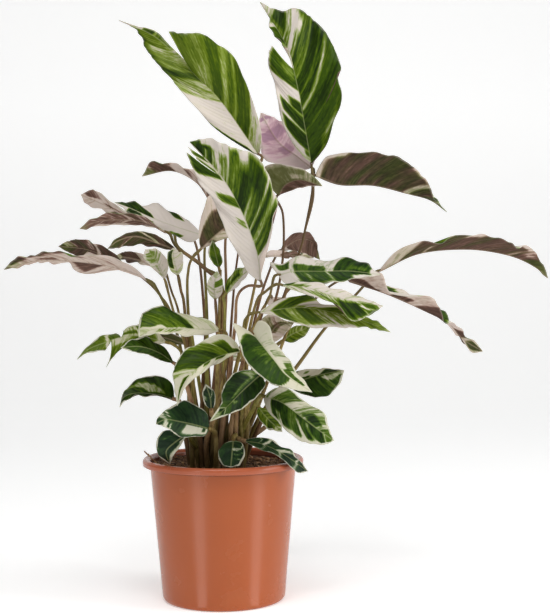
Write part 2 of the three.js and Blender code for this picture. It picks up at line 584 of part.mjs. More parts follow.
    right: { lift: 10, lobes: [
      { until: 0.5, edge: [[-75, 288], [-90, 291], [-104, 284]] },
      { until: 1, edge: [[-112, 282], [-121, 281], [-132, 275], [-142, 268]] }] } },
  // dark green leaf below it
  { crown: 'left', via: [[-42, 238, -34]],
    rib: [[-51, 249, -42], [-66, 260, -58], [-86, 267, -72], [-107, 266, -82]],
    left: { lift: -4, edge: [[-62, 251], [-78, 258], [-96, 262]] },
    right: { lift: 8, edge: [[-58, 262], [-68, 271], [-85, 277], [-98, 273]] } },
  // brown strip between them
  { crown: 'middle', via: [[-36, 250, 4]], rows: 9,
    rib: [[-38, 269, 2], [-62, 277, 8], [-88, 280, 16]],
    left: { lift: -4, edge: [[-45, 278], [-66, 284], [-84, 284]] },
    right: { lift: 6, edge: [[-48, 269], [-70, 271], [-84, 275]] } },
  // cream and green leaf at the front left
  { crown: 'front_right', via: [[21, 244, -44], [16, 224, -40]], rows: 13,
    rib: [[20, 261, -46], [0, 257, -72], [-18, 249, -90], [-33, 237, -100], [-43, 222, -104], [-48, 204, -104]],
    left: { lift: -4, edge: [[5, 254], [-10, 246], [-28, 234], [-40, 222]] },
    right: { lift: 12, edge: [[12, 272], [0, 279], [-15, 276], [-32, 267], [-47, 254], [-52, 240], [-51, 222]] } },
  // green and cream leaf at the front, pointing down
  { crown: 'front_right', via: [[28, 270, -60], [22, 252, -56], [17, 228, -46]], rows: 13,
    rib: [[32, 280, -66], [45, 264, -86], [56, 250, -100], [68, 235, -108], [95, 217, -112]],
    left: { lift: 8, edge: [[38, 293], [50, 287], [54, 272], [64, 260], [75, 244], [87, 228]] },
    right: { lift: -8, edge: [[12, 289], [17, 277], [21, 262], [25, 250], [36, 237], [52, 227], [72, 221]] } },
  // dark leaf at the left
  { crown: 'left', via: [[-44, 203, -18]],
    rib: [[-51, 211, -20], [-68, 216, -24], [-90, 218, -28], [-104, 214, -28], [-109, 203, -26]],
    left: { lift: -8, edge: [[-65, 211], [-85, 212], [-100, 210]] },
    right: { lift: 18, edge: [[-54, 228], [-70, 237], [-88, 233], [-103, 222]] } },
  // dark leaf behind the front leaf, with a yellow margin
  { crown: 'right', via: [[56, 214, -14]],
    rib: [[70, 225, -24], [90, 232, -40], [110, 237, -54], [129, 240, -66]],
    left: { lift: 8, edge: [[78, 239], [98, 242], [116, 242]] },
    right: { lift: -8, edge: [[78, 218], [95, 212], [112, 214], [124, 226]] } },
  // dark leaf with a grey stripe at the front
  { crown: 'front_right', via: [[40, 242, -50], [28, 226, -40]],
    rib: [[40, 236, -60], [22, 220, -78], [4, 202, -88], [-6, 193, -90], [-14, 187, -90]],
    left: { lift: -6, edge: [[45, 226], [36, 213], [20, 202], [6, 197]] },
    right: { lift: -4, edge: [[30, 241], [12, 238], [2, 224], [0, 207]] } },
  // striped leaf at the lower right
  { crown: 'front_right', via: [[32, 200, -44]], rows: 13,
    rib: [[43, 213, -52], [62, 207, -72], [82, 192, -86], [100, 178, -92], [118, 165, -94]],
    left: { lift: 8, edge: [[55, 222], [70, 220], [88, 207], [108, 193], [112, 180]] },
    right: { lift: -8, edge: [[46, 201], [56, 188], [70, 174], [86, 164], [106, 161]] } },
  // dark leaf behind it
  { crown: 'right', via: [[30, 196, -10]], rows: 8,
    rib: [[37, 203, -16], [47, 190, -30], [63, 175, -42]],
    left: { lift: 4, edge: [[51, 197], [61, 185]] },
    right: { lift: -4, edge: [[37, 192], [48, 179]] } },
  // curled dark leaf at the front left
  { crown: 'front', via: [[-8, 172, -42]],
    rib: [[-14, 179, -52], [-31, 184, -70], [-48, 188, -82], [-60, 190, -86], [-71, 185, -86]],
    left: { lift: -6, edge: [[-20, 172], [-35, 171], [-48, 172], [-60, 181]] },
    right: { lift: 12, edge: [[-18, 196], [-30, 207], [-45, 208], [-58, 201], [-68, 193]] } },
  // leaf hanging over the soil below it
  { crown: 'left', via: [[-34, 168, -34]],
    rib: [[-38, 173, -44], [-50, 166, -52], [-60, 156, -50], [-56, 142, -42]],
    left: { lift: -4, edge: [[-44, 163], [-52, 152]] },
    right: { lift: 4, edge: [[-50, 177], [-64, 178], [-71, 165], [-67, 150]] } },
  // round leaf at the soil
  { crown: 'front_right', via: [[14, 172, -34]], rows: 8,
    rib: [[11, 167, -42], [10, 158, -58], [8, 138, -66]],
    left: { lift: -2, edge: [[20, 164], [23, 152], [18, 141]] },
    right: { lift: -2, edge: [[-1, 162], [-5, 150], [-1, 141]] } },
  // striped leaf hanging over the rim
  { crown: 'front_right', via: [[16, 168, -34]],
    rib: [[22, 166, -42], [40, 163, -52], [58, 155, -56], [75, 144, -54], [90, 133, -50]],
    left: { lift: 6, edge: [[30, 169], [45, 169], [62, 161], [78, 149]] },
    right: { lift: -8, edge: [[30, 159], [42, 152], [58, 147], [71, 138], [81, 131]] } },
  // small dark leaf with a white margin among the stalks
  { crown: 'front', via: [[-10, 190, -48]], rows: 7,
    rib: [[-12, 199, -52], [-13, 212, -58], [-18, 227, -66]],
    left: { lift: 0, edge: [[-19, 206], [-21, 218]] },
    right: { lift: 0, edge: [[-8, 206], [-9, 219]] } },
  // leaves at the back, which round the plant out: upper right, then clockwise from above
  { crown: 'back', via: [[66, 320, 44], [40, 270, 38]], rows: 10,
    rib: [[88, 338, 60], [100, 343, 100], [112, 343, 140], [120, 338, 176]],
    left: { edge: [[78, 341], [84, 346], [100, 345]] },
    right: { edge: [[114, 341], [136, 345], [136, 343]] } },
  { crown: 'back', via: [[42, 300, 44], [24, 240, 38]], rows: 10,
    rib: [[52, 318, 56], [64, 308, 96], [78, 303, 132], [90, 294, 164]],
    left: { edge: [[48, 315], [50, 310], [68, 304]] },
    right: { edge: [[78, 316], [98, 309], [104, 300]] } },
  { crown: 'back', via: [[44, 180, 44]], rows: 10,
    rib: [[60, 196, 56], [75, 200, 90], [88, 198, 124], [97, 190, 154]],
    left: { edge: [[58, 206], [69, 212], [84, 206]] },
    right: { edge: [[80, 194], [99, 190], [104, 186]] } },
  { crown: 'back', via: [[8, 235, 48]], rows: 10,
    rib: [[10, 252, 62], [14, 259, 100], [16, 258, 136], [18, 250, 166]],
    left: { edge: [[-8, 254], [-16, 258], [-6, 255]] },
    right: { edge: [[32, 254], [47, 257], [40, 254]] } },
  { crown: 'middle', via: [[-28, 250, 36]], rows: 10,
    rib: [[-34, 291, 50], [-40, 297, 92], [-46, 299, 130], [-52, 293, 166]],
    left: { edge: [[-54, 293], [-72, 298], [-70, 296]] },
    right: { edge: [[-16, 292], [-14, 296], [-30, 296]] } },
  { crown: 'middle', via: [[-26, 370, 22], [-20, 320, 22]], rows: 10,
    rib: [[-36, 388, 34], [-50, 396, 74], [-64, 402, 112], [-76, 403, 146]],
    left: { edge: [[-54, 388], [-74, 397], [-84, 402]] },
    right: { edge: [[-32, 397], [-44, 404], [-62, 407]] } },
  { crown: 'back', via: [[18, 370, 36], [12, 320, 34]], rows: 10,
    rib: [[20, 394, 48], [22, 411, 88], [24, 418, 128], [26, 413, 164]],
    left: { edge: [[6, 402], [-1, 414], [8, 417]] },
    right: { edge: [[38, 400], [48, 413], [44, 416]] } },
];

// ---------------------------------------------------------------- the plant
const group = new THREE.Group();
group.add(makePot(), makeSoil());
for (const crown of Object.keys(CROWNS)) {
  group.add(makeCrown(crown, LEAVES.filter((leaf) => leaf.crown === crown)));
}
LEAVES.forEach((leaf, i) => group.add(makeLeaf(`leaf_${String(i + 1).padStart(2, '0')}`, leaf)));

export default group;
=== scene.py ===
# %% [markdown]
# # A potted calathea
# This is a white-and-green prayer plant in a terracotta-coloured nursery pot, made step by
# step. The measured solids of the plant come first, and each of them then gets a finer
# piece in its place. Lengths are metres here, while the plant's own drawing, from which
# stalks and leaves are made, is in millimetres.

# %% Load the measured solids
import math
import random
from functools import partial

import bpy
import numpy as np
from mathutils import Matrix, Vector


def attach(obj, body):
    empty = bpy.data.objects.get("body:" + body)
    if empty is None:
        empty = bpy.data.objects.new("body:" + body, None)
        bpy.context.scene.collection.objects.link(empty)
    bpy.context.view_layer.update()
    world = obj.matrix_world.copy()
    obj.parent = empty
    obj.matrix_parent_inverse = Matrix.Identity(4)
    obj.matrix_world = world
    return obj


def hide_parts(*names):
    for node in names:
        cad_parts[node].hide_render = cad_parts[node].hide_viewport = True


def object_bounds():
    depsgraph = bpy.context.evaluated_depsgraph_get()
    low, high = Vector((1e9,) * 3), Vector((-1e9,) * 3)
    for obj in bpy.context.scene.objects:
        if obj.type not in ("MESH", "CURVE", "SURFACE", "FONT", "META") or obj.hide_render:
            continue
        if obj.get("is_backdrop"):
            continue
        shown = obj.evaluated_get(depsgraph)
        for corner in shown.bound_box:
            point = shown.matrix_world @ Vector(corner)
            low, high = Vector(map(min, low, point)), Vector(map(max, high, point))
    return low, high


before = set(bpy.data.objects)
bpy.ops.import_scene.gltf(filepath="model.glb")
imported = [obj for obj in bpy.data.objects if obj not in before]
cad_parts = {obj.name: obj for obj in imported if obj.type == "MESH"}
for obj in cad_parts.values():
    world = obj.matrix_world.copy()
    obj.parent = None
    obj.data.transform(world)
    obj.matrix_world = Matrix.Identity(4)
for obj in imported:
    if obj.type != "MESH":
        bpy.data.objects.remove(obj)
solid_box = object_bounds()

MM = 0.001
print("solids:", len(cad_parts))

# %% [markdown]
# ## The camera
# A camera can be aimed with a Track To constraint, but then it can't lean. Here it is
# aimed by its own right, up and forward directions. It stands as high as the middle of
# the plant, looks a little down and to the right, and leans by a third of a degree.

# %% Camera
EYE_DISTANCE, EYE_HEIGHT = 1420, 350       # millimetres
FRAME_HEIGHT, FOCAL_PIXELS = 613, 1346     # pixels of the picture
AIM_RIGHT, AIM_DOWN = 53, 39.6             # pixels from straight ahead to the picture's middle
LEAN_DEGREES = -0.35
SENSOR = 36

pan = math.atan(AIM_RIGHT / FOCAL_PIXELS)
pitch = -math.atan(AIM_DOWN / FOCAL_PIXELS)
roll = math.radians(LEAN_DEGREES)
forward = Vector((math.sin(pan) * math.cos(pitch), math.cos(pan) * math.cos(pitch), math.sin(pitch)))
level = forward.cross(Vector((0, 0, 1))).normalized()
upright = level.cross(forward)
rightward = level * math.cos(roll) + upright * math.sin(roll)
upward = upright * math.cos(roll) - level * math.sin(roll)

camera_data = bpy.data.cameras.new("camera")
camera_data.sensor_width = SENSOR
camera_data.lens = FOCAL_PIXELS * SENSOR / FRAME_HEIGHT
camera = bpy.data.objects.new("camera", camera_data)
axes = Matrix((rightward, upward, -forward)).transposed()
eye = (0, -EYE_DISTANCE * MM, EYE_HEIGHT * MM)
camera.matrix_world = Matrix.Translation(eye) @ axes.to_4x4()
bpy.context.scene.collection.objects.link(camera)
bpy.context.scene.camera = camera
print("lens:", round(camera_data.lens, 1), "mm")

# %% [markdown]
# ## Floor and light
# A studio sweep is a floor that curves up into a backdrop, so that no horizon line shows.
# Two tall soft boxes stand in front, left and right, and the round glossy rim mirrors each
# as a streak. The pot's wall leans out and mirrors the floor instead, so two lit boards lie
# there, which nothing but a reflection sees, and make the streaks on the wall. A soft box
# at the side, a larger one above and a pale world fill the shadows.

# %% Sweep and soft boxes
SWEEP_WIDTH = 6.0
SWEEP_FRONT = -3.0
SWEEP_BACK = 1.6
SWEEP_BEND = 0.8
SWEEP_TOP = 3.0
SWEEP_STEPS = 12
BOARD_START, BOARD_LIFT = 0.066, 0.0008                   # from the pot's axis, and the floor
BOARD_NEAR, BOARD_FAR = (0.004, 0.005), (0.42, 0.075)     # distance and half width
WORLD_STRENGTH = 0.2


def link(name, mesh):
    """An object for a mesh, in the scene."""
    made = bpy.data.objects.new(name, mesh)
    bpy.context.scene.collection.objects.link(made)
    return made


def mesh_of(name, points, faces):
    """A smoothly shaded mesh from points and faces."""
    mesh = bpy.data.meshes.new(name)
    mesh.from_pydata([tuple(p) for p in points], [], [tuple(f) for f in faces])
    mesh.polygons.foreach_set("use_smooth", [True] * len(mesh.polygons))
    mesh.update()
    return mesh


profile = [(SWEEP_FRONT, 0.0)]
for step in range(SWEEP_STEPS + 1):
    turn = step / SWEEP_STEPS * math.pi / 2
    profile.append((SWEEP_BACK + SWEEP_BEND * math.sin(turn), SWEEP_BEND * (1 - math.cos(turn))))
profile.append((SWEEP_BACK + SWEEP_BEND, SWEEP_TOP))
points = [(side * SWEEP_WIDTH / 2, y, z) for y, z in profile for side in (-1, 1)]
faces = [(2 * i, 2 * i + 1, 2 * i + 3, 2 * i + 2) for i in range(len(profile) - 1)]
sweep = link("sweep", mesh_of("sweep", points, faces))
sweep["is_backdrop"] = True


def soft_box(name, place, target, width, height, watts):
    """A rectangular area light that looks at a point."""
    data = bpy.data.lights.new(name, "AREA")
    data.shape = "RECTANGLE"
    data.size, data.size_y = width, height
    data.energy = watts
    light = bpy.data.objects.new(name, data)
    light.location = place
    light.rotation_euler = (Vector(target) - Vector(place)).to_track_quat("-Z", "Y").to_euler()
    bpy.context.scene.collection.objects.link(light)


soft_box("box_left", (-1.12, -1.53, 0.45), (0, 0, 0.25), 0.28, 1.2, 5)
soft_box("box_right", (1.69, -0.87, 0.45), (0, 0, 0.25), 0.28, 1.2, 9)
soft_box("box_side", (1.9, -0.5, 1.1), (0, 0, 0.3), 0.9, 1.2, 16)
soft_box("box_top", (-0.1, -0.9, 2.0), (0, 0, 0.3), 1.2, 1.0, 23)


def glow_board(name, bearing):
    """A lit board on the floor, which only the pot's shine shows.

    bearing is where on the wall its streak stands, in degrees to the right of the front.
    """
    wall, beam = math.radians(bearing), math.radians(2 * bearing)
    start = Vector((math.sin(wall), -math.cos(wall), 0)) * BOARD_START
    ahead = Vector((math.sin(beam), -math.cos(beam), 0))
    aside = Vector((math.cos(beam), math.sin(beam), 0))
    lift = Vector((0, 0, BOARD_LIFT))
    corners = [(*BOARD_NEAR, -1), (*BOARD_NEAR, 1), (*BOARD_FAR, 1), (*BOARD_FAR, -1)]
    points = [start + ahead * far + aside * half * end + lift for far, half, end in corners]
    board = link(name, mesh_of(name, points, [(0, 1, 2, 3)]))
    board.visible_camera = board.visible_diffuse = board.visible_shadow = False
    board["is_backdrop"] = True
    return board


boards = [glow_board("board_left", -20.5), glow_board("board_right", 29.5)]
world = bpy.data.worlds.new("studio")
bpy.context.scene.world = world
world.use_nodes = True
background = world.node_tree.nodes["Background"]
background.inputs["Color"].default_value = (1, 1, 1, 1)
background.inputs["Strength"].default_value = WORLD_STRENGTH
bpy.context.scene.view_settings.view_transform = "Standard"
print("lights: 4 soft boxes,", len(boards), "boards and a pale world")

# %% [markdown]
# ## Finishes as sums
# A material is a net of nodes. Drawing each node by hand takes many lines, so one small
# class, Wire, wraps a node's output and lets it be added, multiplied and subtracted like
# a number: each sum adds its Math node. The class Finish holds one material. Its method
# node makes every other kind of node, and the short methods below it are the kinds that
# the finishes here use again and again.

# %% Wire and Finish
class Wire:
    """An output of a node, which can be used in sums."""

    def __init__(self, finish, socket):
        self.finish, self.socket = finish, socket

    def sum_with(self, operation, first, second):
        return self.finish.node("ShaderNodeMath", {"operation": operation}, {0: first, 1: second})

    def __add__(self, other):
        return self.sum_with("ADD", self, other)

    def __radd__(self, other):
        return self.sum_with("ADD", other, self)

    def __sub__(self, other):
        return self.sum_with("SUBTRACT", self, other)

    def __rsub__(self, other):
        return self.sum_with("SUBTRACT", other, self)

    def __mul__(self, other):
        return self.sum_with("MULTIPLY", self, other)

    def __rmul__(self, other):
        return self.sum_with("MULTIPLY", other, self)


class Finish:
    """One material. shader is its Principled node."""

    def __init__(self, name):
        self.material = bpy.data.materials.new(name)
        self.material.use_nodes = True
        self.tree = self.material.node_tree
        self.shader = self.tree.nodes["Principled BSDF"]

    def node(self, kind, settings=None, inputs=None, output=0):
        """A new node with its settings and inputs; the answer is the Wire of one output."""
        made = self.tree.nodes.new(kind)
        for name, value in (settings or {}).items():
            if name == "stops":
                self.fill_ramp(made.color_ramp, value)
            else:
                setattr(made, name, value)
        for name, value in (inputs or {}).items():
            if isinstance(value, Wire):
                self.tree.links.new(value.socket, made.inputs[name])
            else:
                made.inputs[name].default_value = value
        return Wire(self, made.outputs[output])

    def fill_ramp(self, ramp, stops):
        """Clears a new colour ramp and sets its (place, colour) stops."""
        while len(ramp.elements) > 1:
            ramp.elements.remove(ramp.elements[-1])
        ramp.elements[0].position = stops[0][0]
        for place, colour in stops:
            if place == stops[0][0]:
                element = ramp.elements[0]
            else:
                element = ramp.elements.new(place)
            element.color = (*colour, 1)

    def feed(self, **sockets):
        """Puts numbers, colours and wires on the shader's sockets; _ stands for a space."""
        for name, value in sockets.items():
            socket = self.shader.inputs[name.replace("_", " ")]
            if isinstance(value, Wire):
                self.tree.links.new(value.socket, socket)
            else:
                socket.default_value = value

    def ramp(self, value, stops):
        return self.node("ShaderNodeValToRGB", {"stops": stops}, {"Fac": value})

    def between(self, value, low, high):
        """0 below low, 1 above high, and smooth in between."""
        settings = {"interpolation_type": "SMOOTHSTEP"}
        inputs = {"Value": value, "From Min": low, "From Max": high}
        return self.node("ShaderNodeMapRange", settings, inputs)

    def blend(self, share, first, second):
        """A share of the second colour over the first."""
        inputs = {0: share, 6: first, 7: second}
        return self.node("ShaderNodeMix", {"data_type": "RGBA"}, inputs, output=2)

    def noise(self, place, scale, detail):
        inputs = {"Vector": place, "Scale": scale, "Detail": detail}
        return self.node("ShaderNodeTexNoise", {}, inputs)

    def bump(self, height, distance, strength):
        inputs = {"Height": height, "Distance": distance, "Strength": strength}
        return self.node("ShaderNodeBump", {}, inputs)

    def place(self):
        """Where on the object a spot lies, in metres."""
        return self.node("ShaderNodeTexCoord", output="Object")

    def stored(self, name, output="Vector"):
        """What write_values has stored on the mesh under a name."""
        return self.node("ShaderNodeAttribute", {"attribute_name": name}, output=output)

    def parts(self, vector):
        """The three numbers of a vector."""
        first = self.node("ShaderNodeSeparateXYZ", {}, {0: vector})
        return [Wire(self, output) for output in first.socket.node.outputs]

    def stretch(self, vector, factors):
        return self.node("ShaderNodeVectorMath", {"operation": "MULTIPLY"}, {0: vector, 1: factors})

    def from_axis(self, place):
        """How far a place lies from the pot's axis."""
        level = self.stretch(place, (1, 1, 0))
        return self.node("ShaderNodeVectorMath", {"operation": "LENGTH"}, {0: level}, output="Value")


floor_finish = Finish("sweep paper")
floor_finish.feed(Base_Color=(0.88, 0.88, 0.875, 1), Roughness=0.9, Specular_IOR_Level=0.1)
floor_finish.feed(Emission_Color=(1, 1, 1, 1), Emission_Strength=0.34)
sweep.data.materials.append(floor_finish.material)
glow = Finish("glow board")
glow.feed(Base_Color=(0.9, 0.9, 0.9, 1), Emission_Color=(1, 1, 1, 1), Emission_Strength=2.6)
for board in boards:
    board.data.materials.append(glow.material)
print("finishes so far:", len(bpy.data.materials))

# %% [markdown]
# ## The pot
# The real pot is moulded in one go from plastic: a tapered cup with a thin wall, a rim
# that rolls out and down into a lip, and a rounded foot. A cylinder with modifiers would
# do, but a turned profile says it more plainly: a list of radii and heights, spun round
# the axis. The drainage holes are cut afterwards with a Boolean.

# %% Turn the pot
RIM_RADIUS, RIM_TOP = 85, 149.5
LIP_HEIGHT, LIP_THICKNESS = 7.5, 1.6
WALL_TOP_RADIUS, WALL_FOOT_RADIUS = 77, 64.5
FOOT_ROUNDING, WALL, FLOOR = 5, 1.3, 2
DRAIN_HOLES, DRAIN_RADIUS, DRAIN_CIRCLE = 6, 3.5, 50
DRILL_LOW, DRILL_HIGH = -4, 8
POT_SIDES, DRILL_SIDES = 180, 24


def wall_radius(z):
    """How wide the wall stands, outside, at a height."""
    share = (z - FOOT_ROUNDING) / (RIM_TOP - LIP_HEIGHT - FOOT_ROUNDING)
    return WALL_FOOT_RADIUS + (WALL_TOP_RADIUS - WALL_FOOT_RADIUS) * share


def rounded(corner, before, after, radius, steps=4):
    """Points that round a profile's corner, from the side of before to the side of after."""
    corner = Vector(corner)
    start = corner + (Vector(before) - corner).normalized() * radius
    end = corner + (Vector(after) - corner).normalized() * radius
    made = []
    for step in range(steps + 1):
        t = step / steps
        made.append(start * (1 - t) ** 2 + corner * 2 * t * (1 - t) + end * t * t)
    return made


def on_circle(radius, angle):
    return radius * math.cos(angle), radius * math.sin(angle)


def ring_faces(rings, around):
    """The faces between rings of points, with as many points around each ring."""
    faces = []
    for n in range(rings - 1):
        for k in range(around):
            here, beside = n * around + k, n * around + (k + 1) % around
            faces.append((here, beside, beside + around, here + around))
    return faces


def turned(name, profile, turns):
    """A closed solid turned from (radius, height) pairs that start and end on the axis."""
    points = []
    for radius, z in profile[1:-1]:
        points += [(*on_circle(radius, 2 * math.pi * k / turns), z) for k in range(turns)]
    rings = len(profile) - 2
    faces = ring_faces(rings, turns)
    for ring, height, outward in ((0, profile[0][1], -1), (rings - 1, profile[-1][1], 1)):
        points.append((0, 0, height))
        for k in range(turns):
            pair = (ring * turns + k, ring * turns + (k + 1) % turns)
            faces.append((*pair[::outward], len(points) - 1))
    return mesh_of(name, [Vector(p) * MM for p in points], faces)


lip_bottom = RIM_TOP - LIP_HEIGHT
shelf = RIM_TOP - LIP_THICKNESS
mouth = wall_radius(RIM_TOP) - WALL
corners = [
    (WALL_FOOT_RADIUS, 0, FOOT_ROUNDING),
    (wall_radius(lip_bottom), lip_bottom, 0.3),
    (wall_radius(shelf), shelf, 0.5),
    (RIM_RADIUS - LIP_THICKNESS, shelf - 0.6, 0.5),
    (RIM_RADIUS - LIP_THICKNESS, lip_bottom, 0.4),
    (RIM_RADIUS - 0.4, lip_bottom, 0.9),
    (RIM_RADIUS, RIM_TOP - 2.6, 1.6),
    (RIM_RADIUS - 2.2, RIM_TOP, 1.8),
    (mouth + 2.6, RIM_TOP - 0.5, 1.6),
    (mouth, RIM_TOP - 3, 1.6),
    (wall_radius(FOOT_ROUNDING) - WALL, FLOOR, FOOT_ROUNDING - FLOOR),
]
path = [(0, 0), *[(r, z) for r, z, _ in corners], (0, FLOOR)]
profile = [(0, 0), (WALL_FOOT_RADIUS - FOOT_ROUNDING - 6, 0)]
for n, (radius, z, rounding) in enumerate(corners):
    profile += [tuple(p) for p in rounded((radius, z), path[n], path[n + 2], rounding)]
profile.append((0, FLOOR))
pot = link("nursery_pot", turned("nursery_pot", profile, POT_SIDES))

for n in range(DRAIN_HOLES):
    angle = (n + 0.5) * 2 * math.pi / DRAIN_HOLES
    drill_profile = [(0, DRILL_LOW), (DRAIN_RADIUS, DRILL_LOW), (DRAIN_RADIUS, DRILL_HIGH), (0, DRILL_HIGH)]
    drill = link("drill", turned("drill", drill_profile, DRILL_SIDES))
    drill.location = (*on_circle(DRAIN_CIRCLE * MM, angle), 0)
    cut = pot.modifiers.new("drain", "BOOLEAN")
    cut.operation, cut.solver, cut.object = "DIFFERENCE", "EXACT", drill
    bpy.context.view_layer.update()
    holed = bpy.data.meshes.new_from_object(pot.evaluated_get(bpy.context.evaluated_depsgraph_get()))
    pot.modifiers.clear()
    pot.data = holed
    bpy.data.objects.remove(drill)
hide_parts("pot")
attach(pot, "root")
print("pot faces:", len(pot.data.polygons))

# %% [markdown]
# The plastic is dyed all through and comes out of the mould half glossy. A flat colour
# looks like paint, so it varies: the dye is faintly cloudy and finely specked, and dust
# and dried splashes, thickest near the foot, make it duller. The inner wall is darkened
# with painted shade, the lip is a paler, duller red, and a painted shadow lies in the
# corner below it. The same fine specks pit the surface as a bump. Height above the floor
# comes from the object's coordinates.

# %% Moulded terracotta plastic
plastic = Finish("moulded terracotta plastic")
place = plastic.place()
height = plastic.parts(place)[2]
cloud = plastic.noise(place, 14, 4)
speckle = plastic.noise(place, 900, 2)
splash = plastic.noise(place, 46, 6)
dust = plastic.between(splash, 0.45, 0.85) * (0.3 + plastic.between(height, 0.06, 0.0) * 0.5)
dye = plastic.blend(cloud, (0.365, 0.078, 0.016, 1), (0.41, 0.093, 0.022, 1))
speckled = plastic.blend(plastic.between(speckle, 0.62, 0.75) * 0.2, dye, (0.29, 0.058, 0.018, 1))
# painted shade: the inner wall of the pot is darkened
taper = wall_radius(1) - wall_radius(0)
from_wall = plastic.from_axis(place) - height * taper - wall_radius(0) * MM
inner_wall_shade = plastic.between(from_wall, -0.4 * MM, -0.9 * MM) * plastic.between(height, 0.03, 0.1)
shaded = plastic.blend(inner_wall_shade * 0.55, speckled, (0.12, 0.035, 0.014, 1))
dusted = plastic.blend(dust * 0.14, shaded, (0.46, 0.20, 0.09, 1))
# painted shadow under the lip, strongest just below its lower edge
painted_lip_shadow = plastic.between(height, (lip_bottom - 2.4) * MM, (lip_bottom - 0.6) * MM)
above_lip = plastic.between(height, (lip_bottom + 0.2) * MM, (lip_bottom + 0.7) * MM)
# the lip itself is a paler, duller red; the inner wall is left out
lip_toned = plastic.blend(above_lip * (1 - inner_wall_shade) * 0.5, dusted, (0.40, 0.105, 0.060, 1))
# painted shadow laid on in the corner below the lip
lip_shadowed = plastic.blend(painted_lip_shadow * (1 - above_lip) * 0.65, lip_toned, (0.09, 0.024, 0.010, 1))
plastic.feed(
    Base_Color=lip_shadowed,
    Roughness=0.22 + dust * 0.15 + cloud * 0.06,
    Specular_IOR_Level=0.36,
    Normal=plastic.bump(speckle, 0.00008, 0.6),
)
pot.data.materials.clear()
pot.data.materials.append(plastic.material)
print("pot finish:", plastic.material.name)

# %% [markdown]
# ## The potting mix
# Coarse peat and coconut fibre fill the pot to a centimetre below the rim. A displaced
# disc alone looks like felt, so the mix is a bumpy bed with nearly a thousand separate
# crumbs, chips and fibres strewn over it. Each crumb is a small ball of a few faces with
# its corners pushed about, and a random number stored on its points gives it its own
# colour. A thin dead twig leans on the rim.

# %% A bed with crumbs on it
SOIL_TOP, SOIL_RELIEF, SOIL_FLOOR = 139.6, 1.6, 20
SOIL_GAP, BED_ROUGHNESS = 0.3, 0.7
FIBRES, FIBRE_RADIUS, FIBRE_POINTS = 130, 0.22, 6
CROWNS = {
    "left": (-28, -12),
    "front": (-8, -30),
    "middle": (-14, 8),
    "back": (4, 28),
    "front_right": (13, -20),
    "right": (16, 4),
}
soil_radius = wall_radius(SOIL_TOP) - WALL - SOIL_GAP


def soil_height(x, y):
    """The mix lies in small waves, and somewhat higher at the back and the left."""
    wave = math.sin(x * 0.31 + 1) * math.cos(y * 0.27) + 0.6 * math.sin(x * 0.11 - y * 0.53 + 2)
    heap = 1.2 * min(max(y / 70, 0), 1) + 3.4 * min(max((-x - 20) / 50, 0), 1)
    return SOIL_TOP + SOIL_RELIEF * wave / 1.6 + heap


def write_values(mesh, name, values):
    """Stores one number, or three, on each point of a mesh."""
    values = np.asarray(values, np.float32)
    kind, key = ("FLOAT", "value") if values.ndim == 1 else ("FLOAT_VECTOR", "vector")
    mesh.attributes.new(name, kind, "POINT").data.foreach_set(key, values.ravel())


class Solids:
    """Points and faces of many small closed solids that end up in one mesh."""

    def __init__(self):
        self.points, self.faces, self.values = [], [], []

    def add(self, points, faces, value):
        """value is one for all the points, or a list with one for each."""
        first = len(self.points)
        self.points += [tuple(p) for p in points]
        self.faces += [tuple(first + i for i in face) for face in faces]
        self.values += list(value) if isinstance(value, list) else [value] * len(points)

    def mesh(self, name, value_name):
        made = mesh_of(name, np.array(self.points) * MM, self.faces)
        write_values(made, value_name, self.values)
        return made


def unit(vectors):
    """The same directions, each with the length 1."""
    return vectors / np.maximum(np.linalg.norm(vectors, axis=-1, keepdims=True), 1e-9)


def tube(line, radii, sides):
    """Points and faces of a capped round tube along a line of points."""
    line = np.asarray(line, float)
    ahead = unit(np.gradient(line, axis=0))
    across = np.cross(ahead[0], (0.3, 0.9, 0.1))
    points = []
    for here, along, radius in zip(line, ahead, radii):
        across = across - along * (across @ along)
        across /= np.linalg.norm(across)
        over = np.cross(along, across)
        for k in range(sides):
            angle = 2 * math.pi * k / sides
            points.append(here + radius * (math.cos(angle) * across + math.sin(angle) * over))
    faces = ring_faces(len(line), sides)
    faces.append(tuple(range(sides))[::-1])
    faces.append(tuple(range(len(points) - sides, len(points))))
    return points, faces


random.seed(7)
mix = Solids()
RINGS, SPOKES = 44, 120
bed = [(0, 0, soil_height(0, 0))]
for ring in range(1, RINGS + 1):
    radius = soil_radius * ring / RINGS
    for k in range(SPOKES):
        x, y = on_circle(radius, 2 * math.pi * k / SPOKES)
        bed.append((x, y, soil_height(x, y) + random.uniform(-BED_ROUGHNESS, BED_ROUGHNESS)))
low_radius = wall_radius(SOIL_FLOOR) - WALL - SOIL_GAP
bed += [(*on_circle(low_radius, 2 * math.pi * k / SPOKES), SOIL_FLOOR) for k in range(SPOKES)]
bed.append((0, 0, SOIL_FLOOR))
bed_faces = []
for k in range(SPOKES):
    side = (k + 1) % SPOKES
    bed_faces.append((0, 1 + k, 1 + side))
    for ring in range(RINGS):
        inner, outer = 1 + ring * SPOKES, 1 + (ring + 1) * SPOKES
        bed_faces.append((inner + k, outer + k, outer + side, inner + side))
    bed_faces.append((len(bed) - 1, 1 + RINGS * SPOKES + side, 1 + RINGS * SPOKES + k))
mix.add(bed, bed_faces, 0.2)

